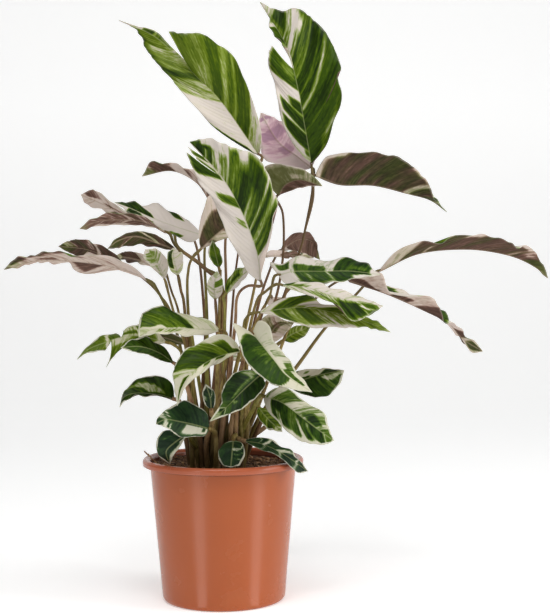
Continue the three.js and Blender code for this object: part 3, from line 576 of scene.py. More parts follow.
BALL = [(0, 0, 1), (0.9, 0, 0.4), (0.28, 0.85, 0.4), (-0.72, 0.53, 0.4), (-0.72, -0.53, 0.4),
        (0.28, -0.85, 0.4), (0.72, 0.53, -0.4), (-0.28, 0.85, -0.4), (-0.9, 0, -0.4),
        (-0.28, -0.85, -0.4), (0.72, -0.53, -0.4), (0, 0, -1)]
BALL_FACES = [(0, 1, 2), (0, 2, 3), (0, 3, 4), (0, 4, 5), (0, 5, 1), (1, 6, 2), (2, 7, 3), (3, 8, 4),
              (4, 9, 5), (5, 10, 1), (6, 7, 2), (7, 8, 3), (8, 9, 4), (9, 10, 5), (10, 6, 1),
              (11, 7, 6), (11, 8, 7), (11, 9, 8), (11, 10, 9), (11, 6, 10)]


def random_spot(reach):
    """A place on the bed, as likely near the rim as near the middle."""
    return on_circle(reach * math.sqrt(random.random()), random.uniform(0, 2 * math.pi))


def strew(count, low, high, flat, tint):
    """Crumbs of a size from low to high, in millimetres, and flat times as tall."""
    for _ in range(count):
        x, y = random_spot(soil_radius - high)
        size = Vector((random.uniform(low, high), random.uniform(low, high), 0))
        size.z = flat * (size.x + size.y) / 2
        turn = Matrix.Rotation(random.uniform(0, 6.3), 3, "Z")
        turn = turn @ Matrix.Rotation(random.uniform(-0.5, 0.5), 3, "X")
        place = Vector((x, y, soil_height(x, y) + size.z * 0.35))
        points = []
        for corner in BALL:
            pushed = Vector(corner) * random.uniform(0.7, 1.2)
            points.append(place + turn @ (pushed * size))
        mix.add(points, BALL_FACES, min(max(random.gauss(tint, 0.18), 0), 1))


strew(620, 0.8, 2.3, 0.7, 0.3)
strew(150, 1.8, 4.2, 0.6, 0.45)
strew(70, 1.5, 4.5, 0.25, 0.8)
for _ in range(FIBRES):
    x, y = random_spot(soil_radius - 7)
    heading, length = random.uniform(0, 6.3), random.uniform(4, 13)
    line = []
    for step in range(FIBRE_POINTS):
        t = step / (FIBRE_POINTS - 1) - 0.5
        px, py = x + length * t * math.cos(heading), y + length * t * math.sin(heading)
        line.append((px, py, soil_height(px, py) + 0.8 + 1.6 * (0.25 - t * t) + random.uniform(0, 0.5)))
    mix.add(*tube(line, [FIBRE_RADIUS] * FIBRE_POINTS, 5), random.uniform(0.5, 0.9))
twig = [(-58, -30, 133), (-65, -27.6, 141), (-70, -25, 148), (-76, -24.2, 154), (-82, -24, 160)]
mix.add(*tube(twig, [1.3, 1.25, 1.1, 0.95, 0.7], 8), 0.5)
mix.add(*tube([(-71, -25, 149), (-75, -27, 153), (-77, -30, 158)], [0.7, 0.6, 0.35], 6), 0.55)
potting_mix = link("potting_mix", mix.mesh("potting_mix", "crumb"))
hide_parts("soil")
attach(potting_mix, "root")
print("potting mix faces:", len(potting_mix.data.polygons))

# %% [markdown]
# Moist peat is a dark brown, dry fibre and bark chips are tan. Each crumb's own number
# chooses between them on a colour ramp, and two noises, one as large as a crumb and one
# as fine as a fibre, break the colour up and roughen the surface.

# %% Moist peat
peat = Finish("moist peat and fibre")
place = peat.place()
crumb = peat.stored("crumb", "Fac")
lumps = peat.noise(place, 260, 4)
fibres = peat.noise(place, 1500, 3)
mixture = crumb + 0.12 + (lumps - 0.5) * 0.7 + (fibres - 0.5) * 0.35
peat.feed(
    Base_Color=peat.ramp(mixture, [
        (0.0, (0.020, 0.008, 0.003)),
        (0.22, (0.060, 0.026, 0.010)),
        (0.45, (0.150, 0.072, 0.028)),
        (0.75, (0.300, 0.165, 0.072)),
        (1.0, (0.450, 0.285, 0.145)),
    ]),
    Roughness=0.75 + fibres * 0.25,
    Normal=peat.bump(lumps + fibres * 0.5, 0.0012, 0.8),
)
potting_mix.data.materials.append(peat.material)

# %% [markdown]
# ## Drawing the leaves in front of the camera
# Leaves are placed best where the eye sees them, so the drawing has its own plane: x to
# the right, z up, and a depth behind the middle of the pot. seen() turns such a point into
# one in space that the camera sees at the same spot, however deep it lies. A Blender curve
# can't be read by its share of length, so a small class runs a smooth line through given
# points and measures it. The same line then serves ribs, margins and stalks.

# %% Plane of sight and smooth lines
def seen(point):
    x, z, depth = point
    spread = 1 + depth / EYE_DISTANCE
    return np.array([x * spread, depth, EYE_HEIGHT + (z - EYE_HEIGHT) * spread])


class Line:
    """A smooth line through points, read by its share of length."""

    def __init__(self, points, steps=400):
        p = np.asarray(points, float)
        ends = np.vstack([2 * p[0] - p[1], p, 2 * p[-1] - p[-2]])
        t = np.linspace(0, len(p) - 1, steps + 1)
        k = np.minimum(t.astype(int), len(p) - 2)
        f = (t - k)[:, None]
        a, b, c, d = ends[k], ends[k + 1], ends[k + 2], ends[k + 3]
        bend = (2 * a - 5 * b + 4 * c - d) * f ** 2 + (3 * b - a - 3 * c + d) * f ** 3
        self.points = 0.5 * (2 * b + (c - a) * f + bend)
        pieces = np.linalg.norm(np.diff(self.points, axis=0), axis=1)
        self.shares = np.r_[0, np.cumsum(pieces)]
        self.length = self.shares[-1]
        self.shares /= self.length

    def at(self, share):
        """The point at a share of the length, or one point for each of many shares."""
        share = np.clip(share, 0, 1)
        return np.stack([np.interp(share, self.shares, axis) for axis in self.points.T], -1)

    def along(self, share, step=1e-3):
        """The direction of the line there."""
        return unit(self.at(np.clip(share + step, 0, 1)) - self.at(np.clip(share - step, 0, 1)))


def rib_of(leaf):
    return Line([seen(point) for point in leaf["rib"]])


print("seen 100 mm behind the pot:", seen((50, 500, 100)).round(1))

# %% [markdown]
# ## The leaves' own lines
# Each leaf has a rib, drawn from its base to its tip, and the outline of its left and
# right side, as the eye going up the rib has them. via are the bends of its stalk, from
# the blade down. Three numbers are a point with its own depth. Points of an edge take the
# rib's depth, and lift bends that side towards the camera or away. A torn side has lobes.

# %% Leaves
LEAVES = [
    # tall torn leaf at the upper left
    dict(crown="middle", via=[[22, 430, -16], [5, 386, -10], [4, 314, -8]], lean=2,
         rib=[[40, 467, -22], [1, 523, -34], [-22, 547, -34], [-65, 589, -18], [-106, 609, 14]],
         left=dict(lift=-6, edge=[[20, 478], [-11, 500], [-38, 532], [-64, 561], [-78, 580], [-88, 599]]),
         right=dict(lift=-10, lobes=[
             dict(until=0.5, edge=[[43, 485], [40, 504], [30, 535], [23, 552], [14, 571], [-4, 585],
                 [-20, 594], [-55, 596]]),
             dict(until=1, lift=-2, edge=[[-25, 554], [-41, 571], [-54, 584], [-68, 598], [-88, 603]])])),
    # tall leaf at the top, with a torn left side
    dict(crown="right", via=[[97, 423, 8], [88, 388, 6], [82, 365, 5], [60, 300, 6]], lean=2.1,
         rib=[[95, 458, 10], [90, 489, -4], [79, 549, -10], [69, 583, 2], [42, 628, 34]],
         left=dict(lift=-4, lobes=[
             dict(until=0.52, edge=[[79, 475], [67, 496], [61, 520], [57, 543], [51, 557], [50, 571],
                 [53, 583]]),
             dict(until=1, lift=0, edge=[[69, 579], [62, 590], [52, 601], [51, 613]])]),
         right=dict(lift=-10, edge=[[112, 480], [119, 506], [126, 522], [127, 535], [123, 551],
             [127, 562], [112, 593], [99, 610], [82, 621], [66, 618]])),
    # broad leaf at the front, cream on one side
    dict(crown="front", via=[[27, 330, -44], [16, 318, -42], [13, 283, -38]], lean=2,
         rib=[[41, 334, -48], [37, 365, -66], [20, 411, -80], [-1, 447, -82], [-33, 482, -78]],
         left=dict(lift=-4, lobes=[
             dict(until=0.72, edge=[[28, 344], [18, 362], [7, 384], [-7, 416], [-20, 436], [-30, 455],
                 [-36, 471]]),
             dict(until=0.86, edge=[[-26, 464], [-30, 469], [-35, 476]]),
             dict(until=1, edge=[[-24, 471], [-28, 477]])]),
         right=dict(lift=-14, edge=[[42, 345], [41, 356], [42, 365], [48, 375], [53, 389], [54, 402],
             [60, 416], [55, 432], [51, 446], [39, 465], [14, 476], [-4, 483], [-20, 485]])),
    # leaf behind the two tall ones, seen from below
    dict(crown="back", via=[[96, 430, 26], [88, 388, 24], [82, 365, 22], [55, 290, 20]],
         rib=[[95, 454, 30], [80, 466, 48], [60, 482, 70], [42, 512, 96]],
         left=dict(lift=8, edge=[[99, 464], [88, 480], [72, 495], [56, 507]]),
         right=dict(lift=-2, edge=[[85, 452], [62, 456], [46, 464], [41, 484], [40, 500]])),
    # dark underside arching to the right
    dict(crown="right", via=[[96, 430, 16], [88, 388, 15], [82, 365, 13], [55, 290, 12]],
         rib=[[99, 446, 16], [126, 437, 26], [161, 436, 38], [197, 427, 46], [221, 420, 50],
             [239, 407, 50]],
         left=dict(lift=30, edge=[[118, 450], [150, 458], [190, 450], [215, 434]]),
         right=dict(lift=-20, edge=[[108, 462], [118, 467], [152, 471], [165, 471], [193, 462],
             [208, 451], [218, 440], [224, 424]])),
    # short leaf towards the front, seen from below
    dict(crown="front_right", via=[[65, 404, -22], [64, 355, -16], [52, 300, -12]],
         rib=[[60, 425, -26], [68, 437, -36], [84, 442, -52], [107, 435, -72]],
         left=dict(lift=6, edge=[[69, 429], [82, 433], [95, 435]]),
         right=dict(lift=-8, edge=[[48, 438], [46, 455], [62, 458], [80, 455], [97, 446]])),
    # long leaf to the right
    dict(crown="right", via=[[148, 327, -12], [109, 285, -10], [79, 245, -8], [45, 200, -2]],
         rib=[[166, 345, -12], [209, 364, -12], [262, 368, -6], [305, 361, 0], [332, 349, 4],
             [347, 336, 4]],
         left=dict(lift=28, edge=[[190, 360], [230, 374], [280, 372], [320, 358]]),
         right=dict(lift=-16, edge=[[184, 364], [209, 375], [231, 376], [243, 383], [274, 381],
             [302, 378], [315, 369], [327, 369], [342, 351]])),
    # thin leaf to the lower right
    dict(crown="right", via=[[110, 326, -30], [75, 292, -24], [60, 260, -20], [38, 205, -8]],
         rib=[[134, 335, -26], [173, 322, -34], [213, 304, -36], [241, 289, -32], [256, 272, -29],
             [277, 259, -26]],
         left=dict(lift=24, edge=[[150, 337], [190, 323], [225, 307], [240, 293], [250, 278],
             [257, 266], [261, 261], [269, 258]]),
         right=dict(lift=-10, edge=[[142, 342], [168, 343], [180, 322], [206, 319], [227, 313],
             [236, 293], [249, 287], [257, 277], [262, 272], [268, 271], [274, 263]])),
    # white leaf with green patches
    dict(crown="front_right", via=[[50, 318, -48], [40, 300, -42], [26, 262, -32]],
         rib=[[60, 341, -56], [76, 345, -62], [106, 345, -66], [136, 345, -66], [168, 341, -60]],
         left=dict(lift=24, edge=[[50, 355], [65, 353], [85, 361], [110, 356], [130, 359], [150, 354]]),
         right=dict(lift=-8, edge=[[66, 333], [80, 330], [100, 331], [120, 333], [143, 337]])),
    # cream leaf, dark green below its rib
    dict(crown="front_right", via=[[46, 324, -70], [36, 312, -60], [26, 262, -44]],
         rib=[[62, 331, -84], [90, 328, -92], [120, 318, -96], [146, 312, -96], [171, 308, -92]],
         left=dict(lift=8, edge=[[84, 334], [108, 331], [130, 324], [152, 316]]),
         right=dict(lift=-14, edge=[[74, 325], [100, 318], [118, 312], [130, 299], [145, 293],
             [158, 299]])),
    # bright striped leaf to the right
    dict(crown="front_right", via=[[27, 298, -66], [22, 280, -58]],
         rib=[[38, 302, -72], [80, 307, -84], [120, 301, -88], [150, 292, -86], [179, 280, -80]],
         left=dict(lift=6, edge=[[60, 315], [90, 319], [105, 313], [125, 306], [150, 297], [166, 290]]),
         right=dict(lift=-10, edge=[[58, 297], [75, 292], [92, 287], [110, 284], [135, 286],
             [158, 284]])),
    # purple underside in the gap at the middle right
    dict(crown="back", via=[[50, 345, 44], [36, 300, 30]],
         rib=[[62, 367, 72], [80, 379, 98], [97, 376, 122], [104, 357, 142]],
         left=dict(lift=4, edge=[[76, 367], [88, 363], [97, 360]]),
         right=dict(lift=-4, edge=[[68, 379], [80, 386], [97, 382]])),
    # narrow leaf below it
    dict(crown="back", via=[[38, 345, 18], [28, 300, 16]],
         rib=[[46, 361, 26], [62, 363, 52], [80, 362, 80], [98, 359, 104]],
         left=dict(lift=6, edge=[[62, 360], [80, 359]]),
         right=dict(lift=-4, edge=[[51, 367], [66, 367], [86, 364]])),
    # folded leaf at the left of the front leaf
    dict(crown="middle", via=[[-12, 385, -18], [-18, 365, -14], [-16, 293, -8]],
         rib=[[-6, 405, -24], [-14, 424, -22], [-27, 441, -18], [-52, 452, -12], [-83, 446, -6]],
         left=dict(lift=-12, edge=[[-8, 426], [-18, 444], [-33, 455], [-50, 458], [-72, 461]]),
         right=dict(lift=14, edge=[[-12, 428], [-32, 450], [-60, 454]])),
    # brown underside beside it
    dict(crown="left", via=[[-30, 361, -44], [-35, 348, -40], [-36, 311, -24]],
         rib=[[-22, 369, -48], [-8, 382, -44], [6, 393, -40], [22, 405, -30], [38, 422, -14]],
         left=dict(lift=6, edge=[[-6, 376], [12, 384], [30, 400]]),
         right=dict(lift=-4, edge=[[-24, 385], [-20, 408], [-13, 425], [4, 430], [22, 428]])),
    # cream leaf to the left
    dict(crown="middle", via=[[-18, 366, -2], [-17, 300, 2]],
         rib=[[-20, 384, -6], [-46, 392, -12], [-72, 402, -18], [-94, 412, -22], [-112, 419, -26]],
         left=dict(lift=-12, edge=[[-32, 377], [-53, 384], [-74, 398], [-96, 408]]),
         right=dict(lift=18, edge=[[-35, 399], [-58, 413], [-80, 417], [-98, 419]])),
    # pink and brown underside to the left
    dict(crown="middle", via=[[-45, 371, 0], [-18, 350, -2], [1, 322, -2]],
         rib=[[-54, 388, -2], [-76, 397, 8], [-101, 405, 18], [-126, 418, 28], [-147, 427, 34]],
         left=dict(lift=-8, edge=[[-70, 401], [-86, 406], [-99, 410], [-115, 418], [-124, 427],
             [-135, 432]]),
         right=dict(lift=12, edge=[[-76, 393], [-94, 400], [-107, 406], [-124, 411], [-136, 414],
             [-143, 420]])),
    # brown leaf below it
    dict(crown="middle", via=[[-47, 371, -26], [-18, 348, -18], [2, 318, -14]],
         rib=[[-58, 387, -36], [-82, 399, -50], [-107, 401, -58], [-130, 399, -62], [-149, 391, -64]],
         left=dict(lift=-6, edge=[[-85, 405], [-110, 408], [-128, 405], [-141, 398]]),
         right=dict(lift=10, edge=[[-80, 396], [-94, 396], [-103, 394], [-113, 396], [-122, 394],
             [-132, 394], [-141, 391]])),
    # arched brown leaf with a pale rib
    dict(crown="middle", via=[[-34, 362, -24], [-14, 345, -24], [0, 318, -20]],
         rib=[[-46, 368, -26], [-70, 377, -50], [-90, 383, -70], [-108, 379, -84], [-120, 370, -92]],
         left=dict(lift=-4, edge=[[-58, 378], [-76, 387], [-92, 388], [-109, 382]]),
         right=dict(lift=8, edge=[[-59, 369], [-74, 373], [-86, 374], [-96, 373.5], [-107, 371.5]])),
    # long leaf to the left
    dict(crown="left", via=[[-70, 330, -10], [-59, 309, -12], [-38, 265, -12]],
         rib=[[-78, 337, -10], [-95, 346, -6], [-126, 354, 0], [-160, 358, 4], [-195, 358, 4],
             [-228, 349, 0]],
         left=dict(lift=-10, edge=[[-95, 353], [-120, 361], [-150, 364], [-185, 367], [-202, 363],
             [-217, 360]]),
         right=dict(lift=16, edge=[[-88, 340], [-104, 346], [-119, 350], [-128, 348], [-143, 344],
             [-155, 348], [-163, 355], [-186, 357], [-212, 352]])),
    # brown leaf over it, pointing back
    dict(crown="middle", via=[[-84, 340, 14], [-66, 322, 12], [-50, 290, 10]],
         rib=[[-101, 351, 20], [-121, 362, 46], [-143, 370, 74], [-171, 373, 98]],
         left=dict(lift=-4, edge=[[-110, 363], [-128, 374], [-145, 380], [-160, 379]]),
         right=dict(lift=6, edge=[[-120, 355], [-141, 359], [-158, 365]])),
    # pale leaf at the left, pointing forward
    dict(crown="left", via=[[-56, 322, -18], [-50, 300, -20], [-38, 262, -18]],
         rib=[[-60, 337, -18], [-65, 350, -34], [-71, 361, -50], [-80, 369, -70]],
         left=dict(lift=-4, edge=[[-68, 345], [-76, 353], [-82, 362]]),
         right=dict(lift=2, edge=[[-57, 346], [-57, 358], [-67, 369]])),
    # narrow brown leaf at the left, pointing back
    dict(crown="middle", via=[[-53, 325, 24], [-44, 295, 18]],
         rib=[[-62, 346, 34], [-84, 357, 58], [-100, 361, 80], [-113, 362, 100]],
         left=dict(lift=-3, edge=[[-80, 363], [-100, 367]]),
         right=dict(lift=5, edge=[[-80, 353], [-100, 357]])),
    # cream leaf with a dark edge, standing at the left
    dict(crown="left", via=[[-43, 325, -32], [-40, 312, -32], [-36, 262, -26]],
         rib=[[-46, 341, -34], [-49, 353, -50], [-51, 362, -66], [-50, 371, -84]],
         left=dict(lift=0, edge=[[-53, 346], [-57, 357], [-56, 366]]),
         right=dict(lift=0, edge=[[-41, 350], [-41, 362]])),
    # small dark leaf in the middle gap
    dict(crown="middle", via=[[-2, 330, -28]],
         rib=[[-3, 349, -30], [-6, 363, -40], [-10, 379, -54]],
         left=dict(lift=-2, edge=[[-10, 355], [-14, 367]]),
         right=dict(lift=-2, edge=[[1, 356], [-3, 369]])),
    # small cream leaf below it
    dict(crown="middle", via=[[-6, 296, -24], [-6, 260, -18]],
         rib=[[-7, 315, -28], [-8, 330, -36], [-5, 346, -48]],
         left=dict(lift=-2, edge=[[-14, 323], [-15, 335]]),
         right=dict(lift=-2, edge=[[0, 323], [0, 337]])),
    # small striped leaf under the front leaf
    dict(crown="front", via=[[3, 300, -32]],
         rib=[[4, 321, -34], [15, 336, -38], [31, 349, -46]],
         left=dict(lift=4, edge=[[4, 332], [12, 345], [22, 350]]),
         right=dict(lift=-4, edge=[[14, 328], [24, 338]])),
    # purple and cream leaf, seen from below, under the striped one
    dict(crown="right", via=[[44, 255, -22]],
         rib=[[52, 270, -30], [53, 282, -36], [61, 290, -46], [76, 291, -62]],
         left=dict(lift=2, edge=[[58, 272], [67, 280]]),
         right=dict(lift=-2, edge=[[44, 280], [42, 296], [54, 299], [66, 294]])),
    # small striped leaf beside it
    dict(crown="right", via=[[50, 255, -6]],
         rib=[[64, 272, -8], [74, 279, -4], [94, 287, 4]],
         left=dict(lift=4, edge=[[66, 281], [76, 287], [86, 289]]),
         right=dict(lift=-2, edge=[[74, 270], [86, 276]])),
    # broad green and cream leaf at the left
    dict(crown="front", via=[[6, 272, -34], [4, 250, -32]],
         rib=[[-2, 283, -36], [-26, 285, -50], [-50, 286, -62], [-73, 285, -70], [-88, 277, -76]],
         left=dict(lift=-10, edge=[[-20, 278], [-40, 279], [-62, 281], [-80, 279]]),
         right=dict(lift=16, edge=[[-12, 293], [-30, 299], [-50, 304], [-65, 308], [-79, 306],
             [-87, 295]])),
    # torn leaf behind it
    dict(crown="left", via=[[-44, 262, -8], [-34, 240, -10]],
         rib=[[-58, 271, -8], [-88, 278, -22], [-106, 277, -30], [-122, 272, -38], [-140, 265, -44],
             [-153, 254, -48]],
         left=dict(lift=-6, lobes=[
             dict(until=0.6, edge=[[-74, 268], [-92, 270], [-104, 266], [-116, 256], [-121, 246]]),
             dict(until=1, edge=[[-122, 264], [-132, 262], [-144, 260]])]),
         right=dict(lift=10, lobes=[
             dict(until=0.5, edge=[[-75, 288], [-90, 291], [-104, 284]]),
             dict(until=1, edge=[[-112, 282], [-121, 281], [-132, 275], [-142, 268]])])),
    # dark green leaf below it
    dict(crown="left", via=[[-42, 238, -34]],
         rib=[[-51, 249, -42], [-66, 260, -58], [-86, 267, -72], [-107, 266, -82]],
         left=dict(lift=-4, edge=[[-62, 251], [-78, 258], [-96, 262]]),
         right=dict(lift=8, edge=[[-58, 262], [-68, 271], [-85, 277], [-98, 273]])),
    # brown strip between them
    dict(crown="middle", via=[[-36, 250, 4]],
         rib=[[-38, 269, 2], [-62, 277, 8], [-88, 280, 16]],
         left=dict(lift=-4, edge=[[-45, 278], [-66, 284], [-84, 284]]),
         right=dict(lift=6, edge=[[-48, 269], [-70, 271], [-84, 275]])),
    # cream and green leaf at the front left
    dict(crown="front_right", via=[[21, 244, -44], [16, 224, -40]],
         rib=[[20, 261, -46], [0, 257, -72], [-18, 249, -90], [-33, 237, -100], [-43, 222, -104],
             [-48, 204, -104]],
         left=dict(lift=-4, edge=[[5, 254], [-10, 246], [-28, 234], [-40, 222]]),
         right=dict(lift=12, edge=[[12, 272], [0, 279], [-15, 276], [-32, 267], [-47, 254], [-52, 240],
             [-51, 222]])),
    # green and cream leaf at the front, pointing down
    dict(crown="front_right", via=[[28, 270, -60], [22, 252, -56], [17, 228, -46]],
         rib=[[32, 280, -66], [45, 264, -86], [56, 250, -100], [68, 235, -108], [95, 217, -112]],
         left=dict(lift=8, edge=[[38, 293], [50, 287], [54, 272], [64, 260], [75, 244], [87, 228]]),
         right=dict(lift=-8, edge=[[12, 289], [17, 277], [21, 262], [25, 250], [36, 237], [52, 227],
             [72, 221]])),
    # dark leaf at the left
    dict(crown="left", via=[[-44, 203, -18]],
         rib=[[-51, 211, -20], [-68, 216, -24], [-90, 218, -28], [-104, 214, -28], [-109, 203, -26]],
         left=dict(lift=-8, edge=[[-65, 214], [-85, 215.5], [-100, 212]]),
         right=dict(lift=18, edge=[[-54, 228], [-70, 237], [-88, 233], [-103, 222]])),
    # dark leaf behind the front leaf, with a yellow margin
    dict(crown="right", via=[[56, 214, -14]],
         rib=[[70, 225, -24], [90, 232, -40], [110, 237, -54], [129, 240, -66]],
         left=dict(lift=8, edge=[[78, 239], [98, 242], [116, 242]]),
         right=dict(lift=-8, edge=[[78, 218], [95, 212], [112, 214], [124, 226]])),
    # dark leaf at the front, whose grey stripe is a painted sheen
    dict(crown="front_right", via=[[40, 242, -50], [28, 226, -40]],
         rib=[[40, 236, -60], [22, 220, -78], [4, 202, -88], [-6, 193, -90], [-14, 187, -90]],
         left=dict(lift=-6, edge=[[45, 226], [36, 213], [20, 200], [4, 194]]),
         right=dict(lift=-4, edge=[[30, 241], [12, 238], [2, 224], [-3, 205]])),
    # striped leaf at the lower right
    dict(crown="front_right", via=[[32, 200, -44]],
         rib=[[43, 213, -52], [62, 207, -72], [82, 192, -86], [100, 178, -92], [118, 165, -94]],
         left=dict(lift=8, edge=[[55, 222], [70, 220], [88, 207], [108, 193], [112, 180]]),
         right=dict(lift=-8, edge=[[46, 201], [56, 188], [70, 174], [86, 164], [106, 161]])),
    # dark leaf behind it
    dict(crown="right", via=[[30, 196, -10]],
         rib=[[37, 203, -16], [47, 190, -30], [63, 175, -42]],
         left=dict(lift=4, edge=[[51, 197], [61, 185]]),
         right=dict(lift=-4, edge=[[37, 192], [48, 179]])),
    # curled dark leaf at the front left
    dict(crown="front", via=[[-8, 172, -42]],
         rib=[[-14, 179, -52], [-31, 184, -70], [-48, 188, -82], [-60, 190, -86], [-71, 185, -86]],
         left=dict(lift=-6, edge=[[-20, 172], [-35, 171], [-48, 172], [-60, 181]]),
         right=dict(lift=12, edge=[[-18, 196], [-30, 207], [-45, 208], [-58, 201], [-68, 193]])),
    # leaf hanging over the soil below it
    dict(crown="left", via=[[-34, 168, -34]],
         rib=[[-38, 173, -44], [-50, 166, -52], [-60, 156, -50], [-56, 142, -42]],
         left=dict(lift=-4, edge=[[-44, 163], [-52, 152]]),
         right=dict(lift=4, edge=[[-50, 177], [-64, 178], [-71, 165], [-67, 150]])),
    # round leaf at the soil
    dict(crown="front_right", via=[[14, 172, -34]],
         rib=[[11, 167, -42], [10, 158, -58], [8, 138, -66]],
         left=dict(lift=-2, edge=[[20, 164], [23, 152], [18, 141]]),
         right=dict(lift=-2, edge=[[-1, 162], [-5, 150], [-1, 141]])),
    # striped leaf hanging over the rim
    dict(crown="front_right", via=[[16, 168, -34]],
         rib=[[22, 166, -42], [40, 163, -52], [58, 155, -56], [75, 144, -54], [90, 133, -50]],
         left=dict(lift=6, edge=[[30, 169], [45, 169], [62, 161], [78, 149]]),
         right=dict(lift=-8, edge=[[31, 161], [43, 156], [58, 150], [71, 139], [81, 131]])),
    # small dark leaf with a white margin among the stalks
    dict(crown="front", via=[[-10, 190, -48]],
         rib=[[-12, 199, -52], [-13, 212, -58], [-18, 227, -66]],
         left=dict(lift=0, edge=[[-19, 206], [-21, 218]]),
         right=dict(lift=0, edge=[[-8, 206], [-9, 219]])),
    # leaves at the back, which round the plant out: upper right, then clockwise from above
    dict(crown="back", via=[[66, 320, 44], [40, 270, 38]],
         rib=[[88, 338, 60], [100, 343, 100], [112, 343, 140], [120, 338, 176]],
         left=dict(edge=[[78, 341], [84, 346], [100, 345]]),
         right=dict(edge=[[114, 341], [136, 345], [136, 343]])),
    dict(crown="back", via=[[42, 300, 44], [24, 240, 38]],
         rib=[[52, 318, 56], [64, 308, 96], [78, 303, 132], [90, 294, 164]],
         left=dict(edge=[[48, 315], [50, 310], [68, 304]]),
         right=dict(edge=[[78, 316], [98, 309], [104, 300]])),
    dict(crown="back", via=[[44, 180, 44]],
         rib=[[60, 196, 56], [75, 200, 90], [88, 198, 124], [97, 190, 154]],
         left=dict(edge=[[58, 206], [69, 212], [84, 206]]),
         right=dict(edge=[[80, 194], [99, 190], [104, 186]])),
    dict(crown="back", via=[[8, 235, 48]],
         rib=[[10, 252, 62], [14, 259, 100], [16, 258, 136], [18, 250, 166]],
         left=dict(edge=[[-8, 254], [-16, 258], [-6, 255]]),
         right=dict(edge=[[32, 254], [47, 257], [40, 254]])),
    dict(crown="middle", via=[[-28, 250, 36]],
         rib=[[-34, 291, 50], [-40, 297, 92], [-46, 299, 130], [-52, 293, 166]],
         left=dict(edge=[[-54, 293], [-72, 298], [-70, 296]]),
         right=dict(edge=[[-16, 292], [-14, 296], [-30, 296]])),
    dict(crown="middle", via=[[-26, 370, 22], [-20, 320, 22]],
         rib=[[-36, 388, 34], [-50, 396, 74], [-64, 402, 112], [-76, 403, 146]],
         left=dict(edge=[[-54, 388], [-74, 397], [-84, 402]]),
         right=dict(edge=[[-32, 397], [-44, 404], [-62, 407]])),
    dict(crown="back", via=[[18, 370, 36], [12, 320, 34]],
         rib=[[20, 394, 48], [22, 411, 88], [24, 418, 128], [26, 413, 164]],
         left=dict(edge=[[6, 402], [-1, 414], [8, 417]]),
         right=dict(edge=[[38, 400], [48, 413], [44, 416]])),
]
print("leaves:", len(LEAVES))

# %% [markdown]
# ## Where each leaf is green
# Every leaf of this plant is marked in its own way, so each one gets a list of bands,
# painted one over another. A band is a stripe of one tone, 0 for cream and 1 for the
# darkest green, that runs from a stretch of the rib to a stretch of the margin, both as
# shares of their length. Painting an image would be the usual way, but the bands follow
# the side veins by themselves and stay sharp at any size. The numbers are those of the
# leaves, in the order of the list above.

# %% Bands
CREAM, PALE, LIGHT, MID, DEEP, DARK = 0.05, 0.3, 0.45, 0.6, 0.8, 0.93


def band(side, tone, rib, margin=None, across=(0, 1), streaks=0.3):
    """side is L, R or LR. across says how far out from the rib, and streaks how brushed it is."""
    return side, tone, rib, margin or rib, across, streaks


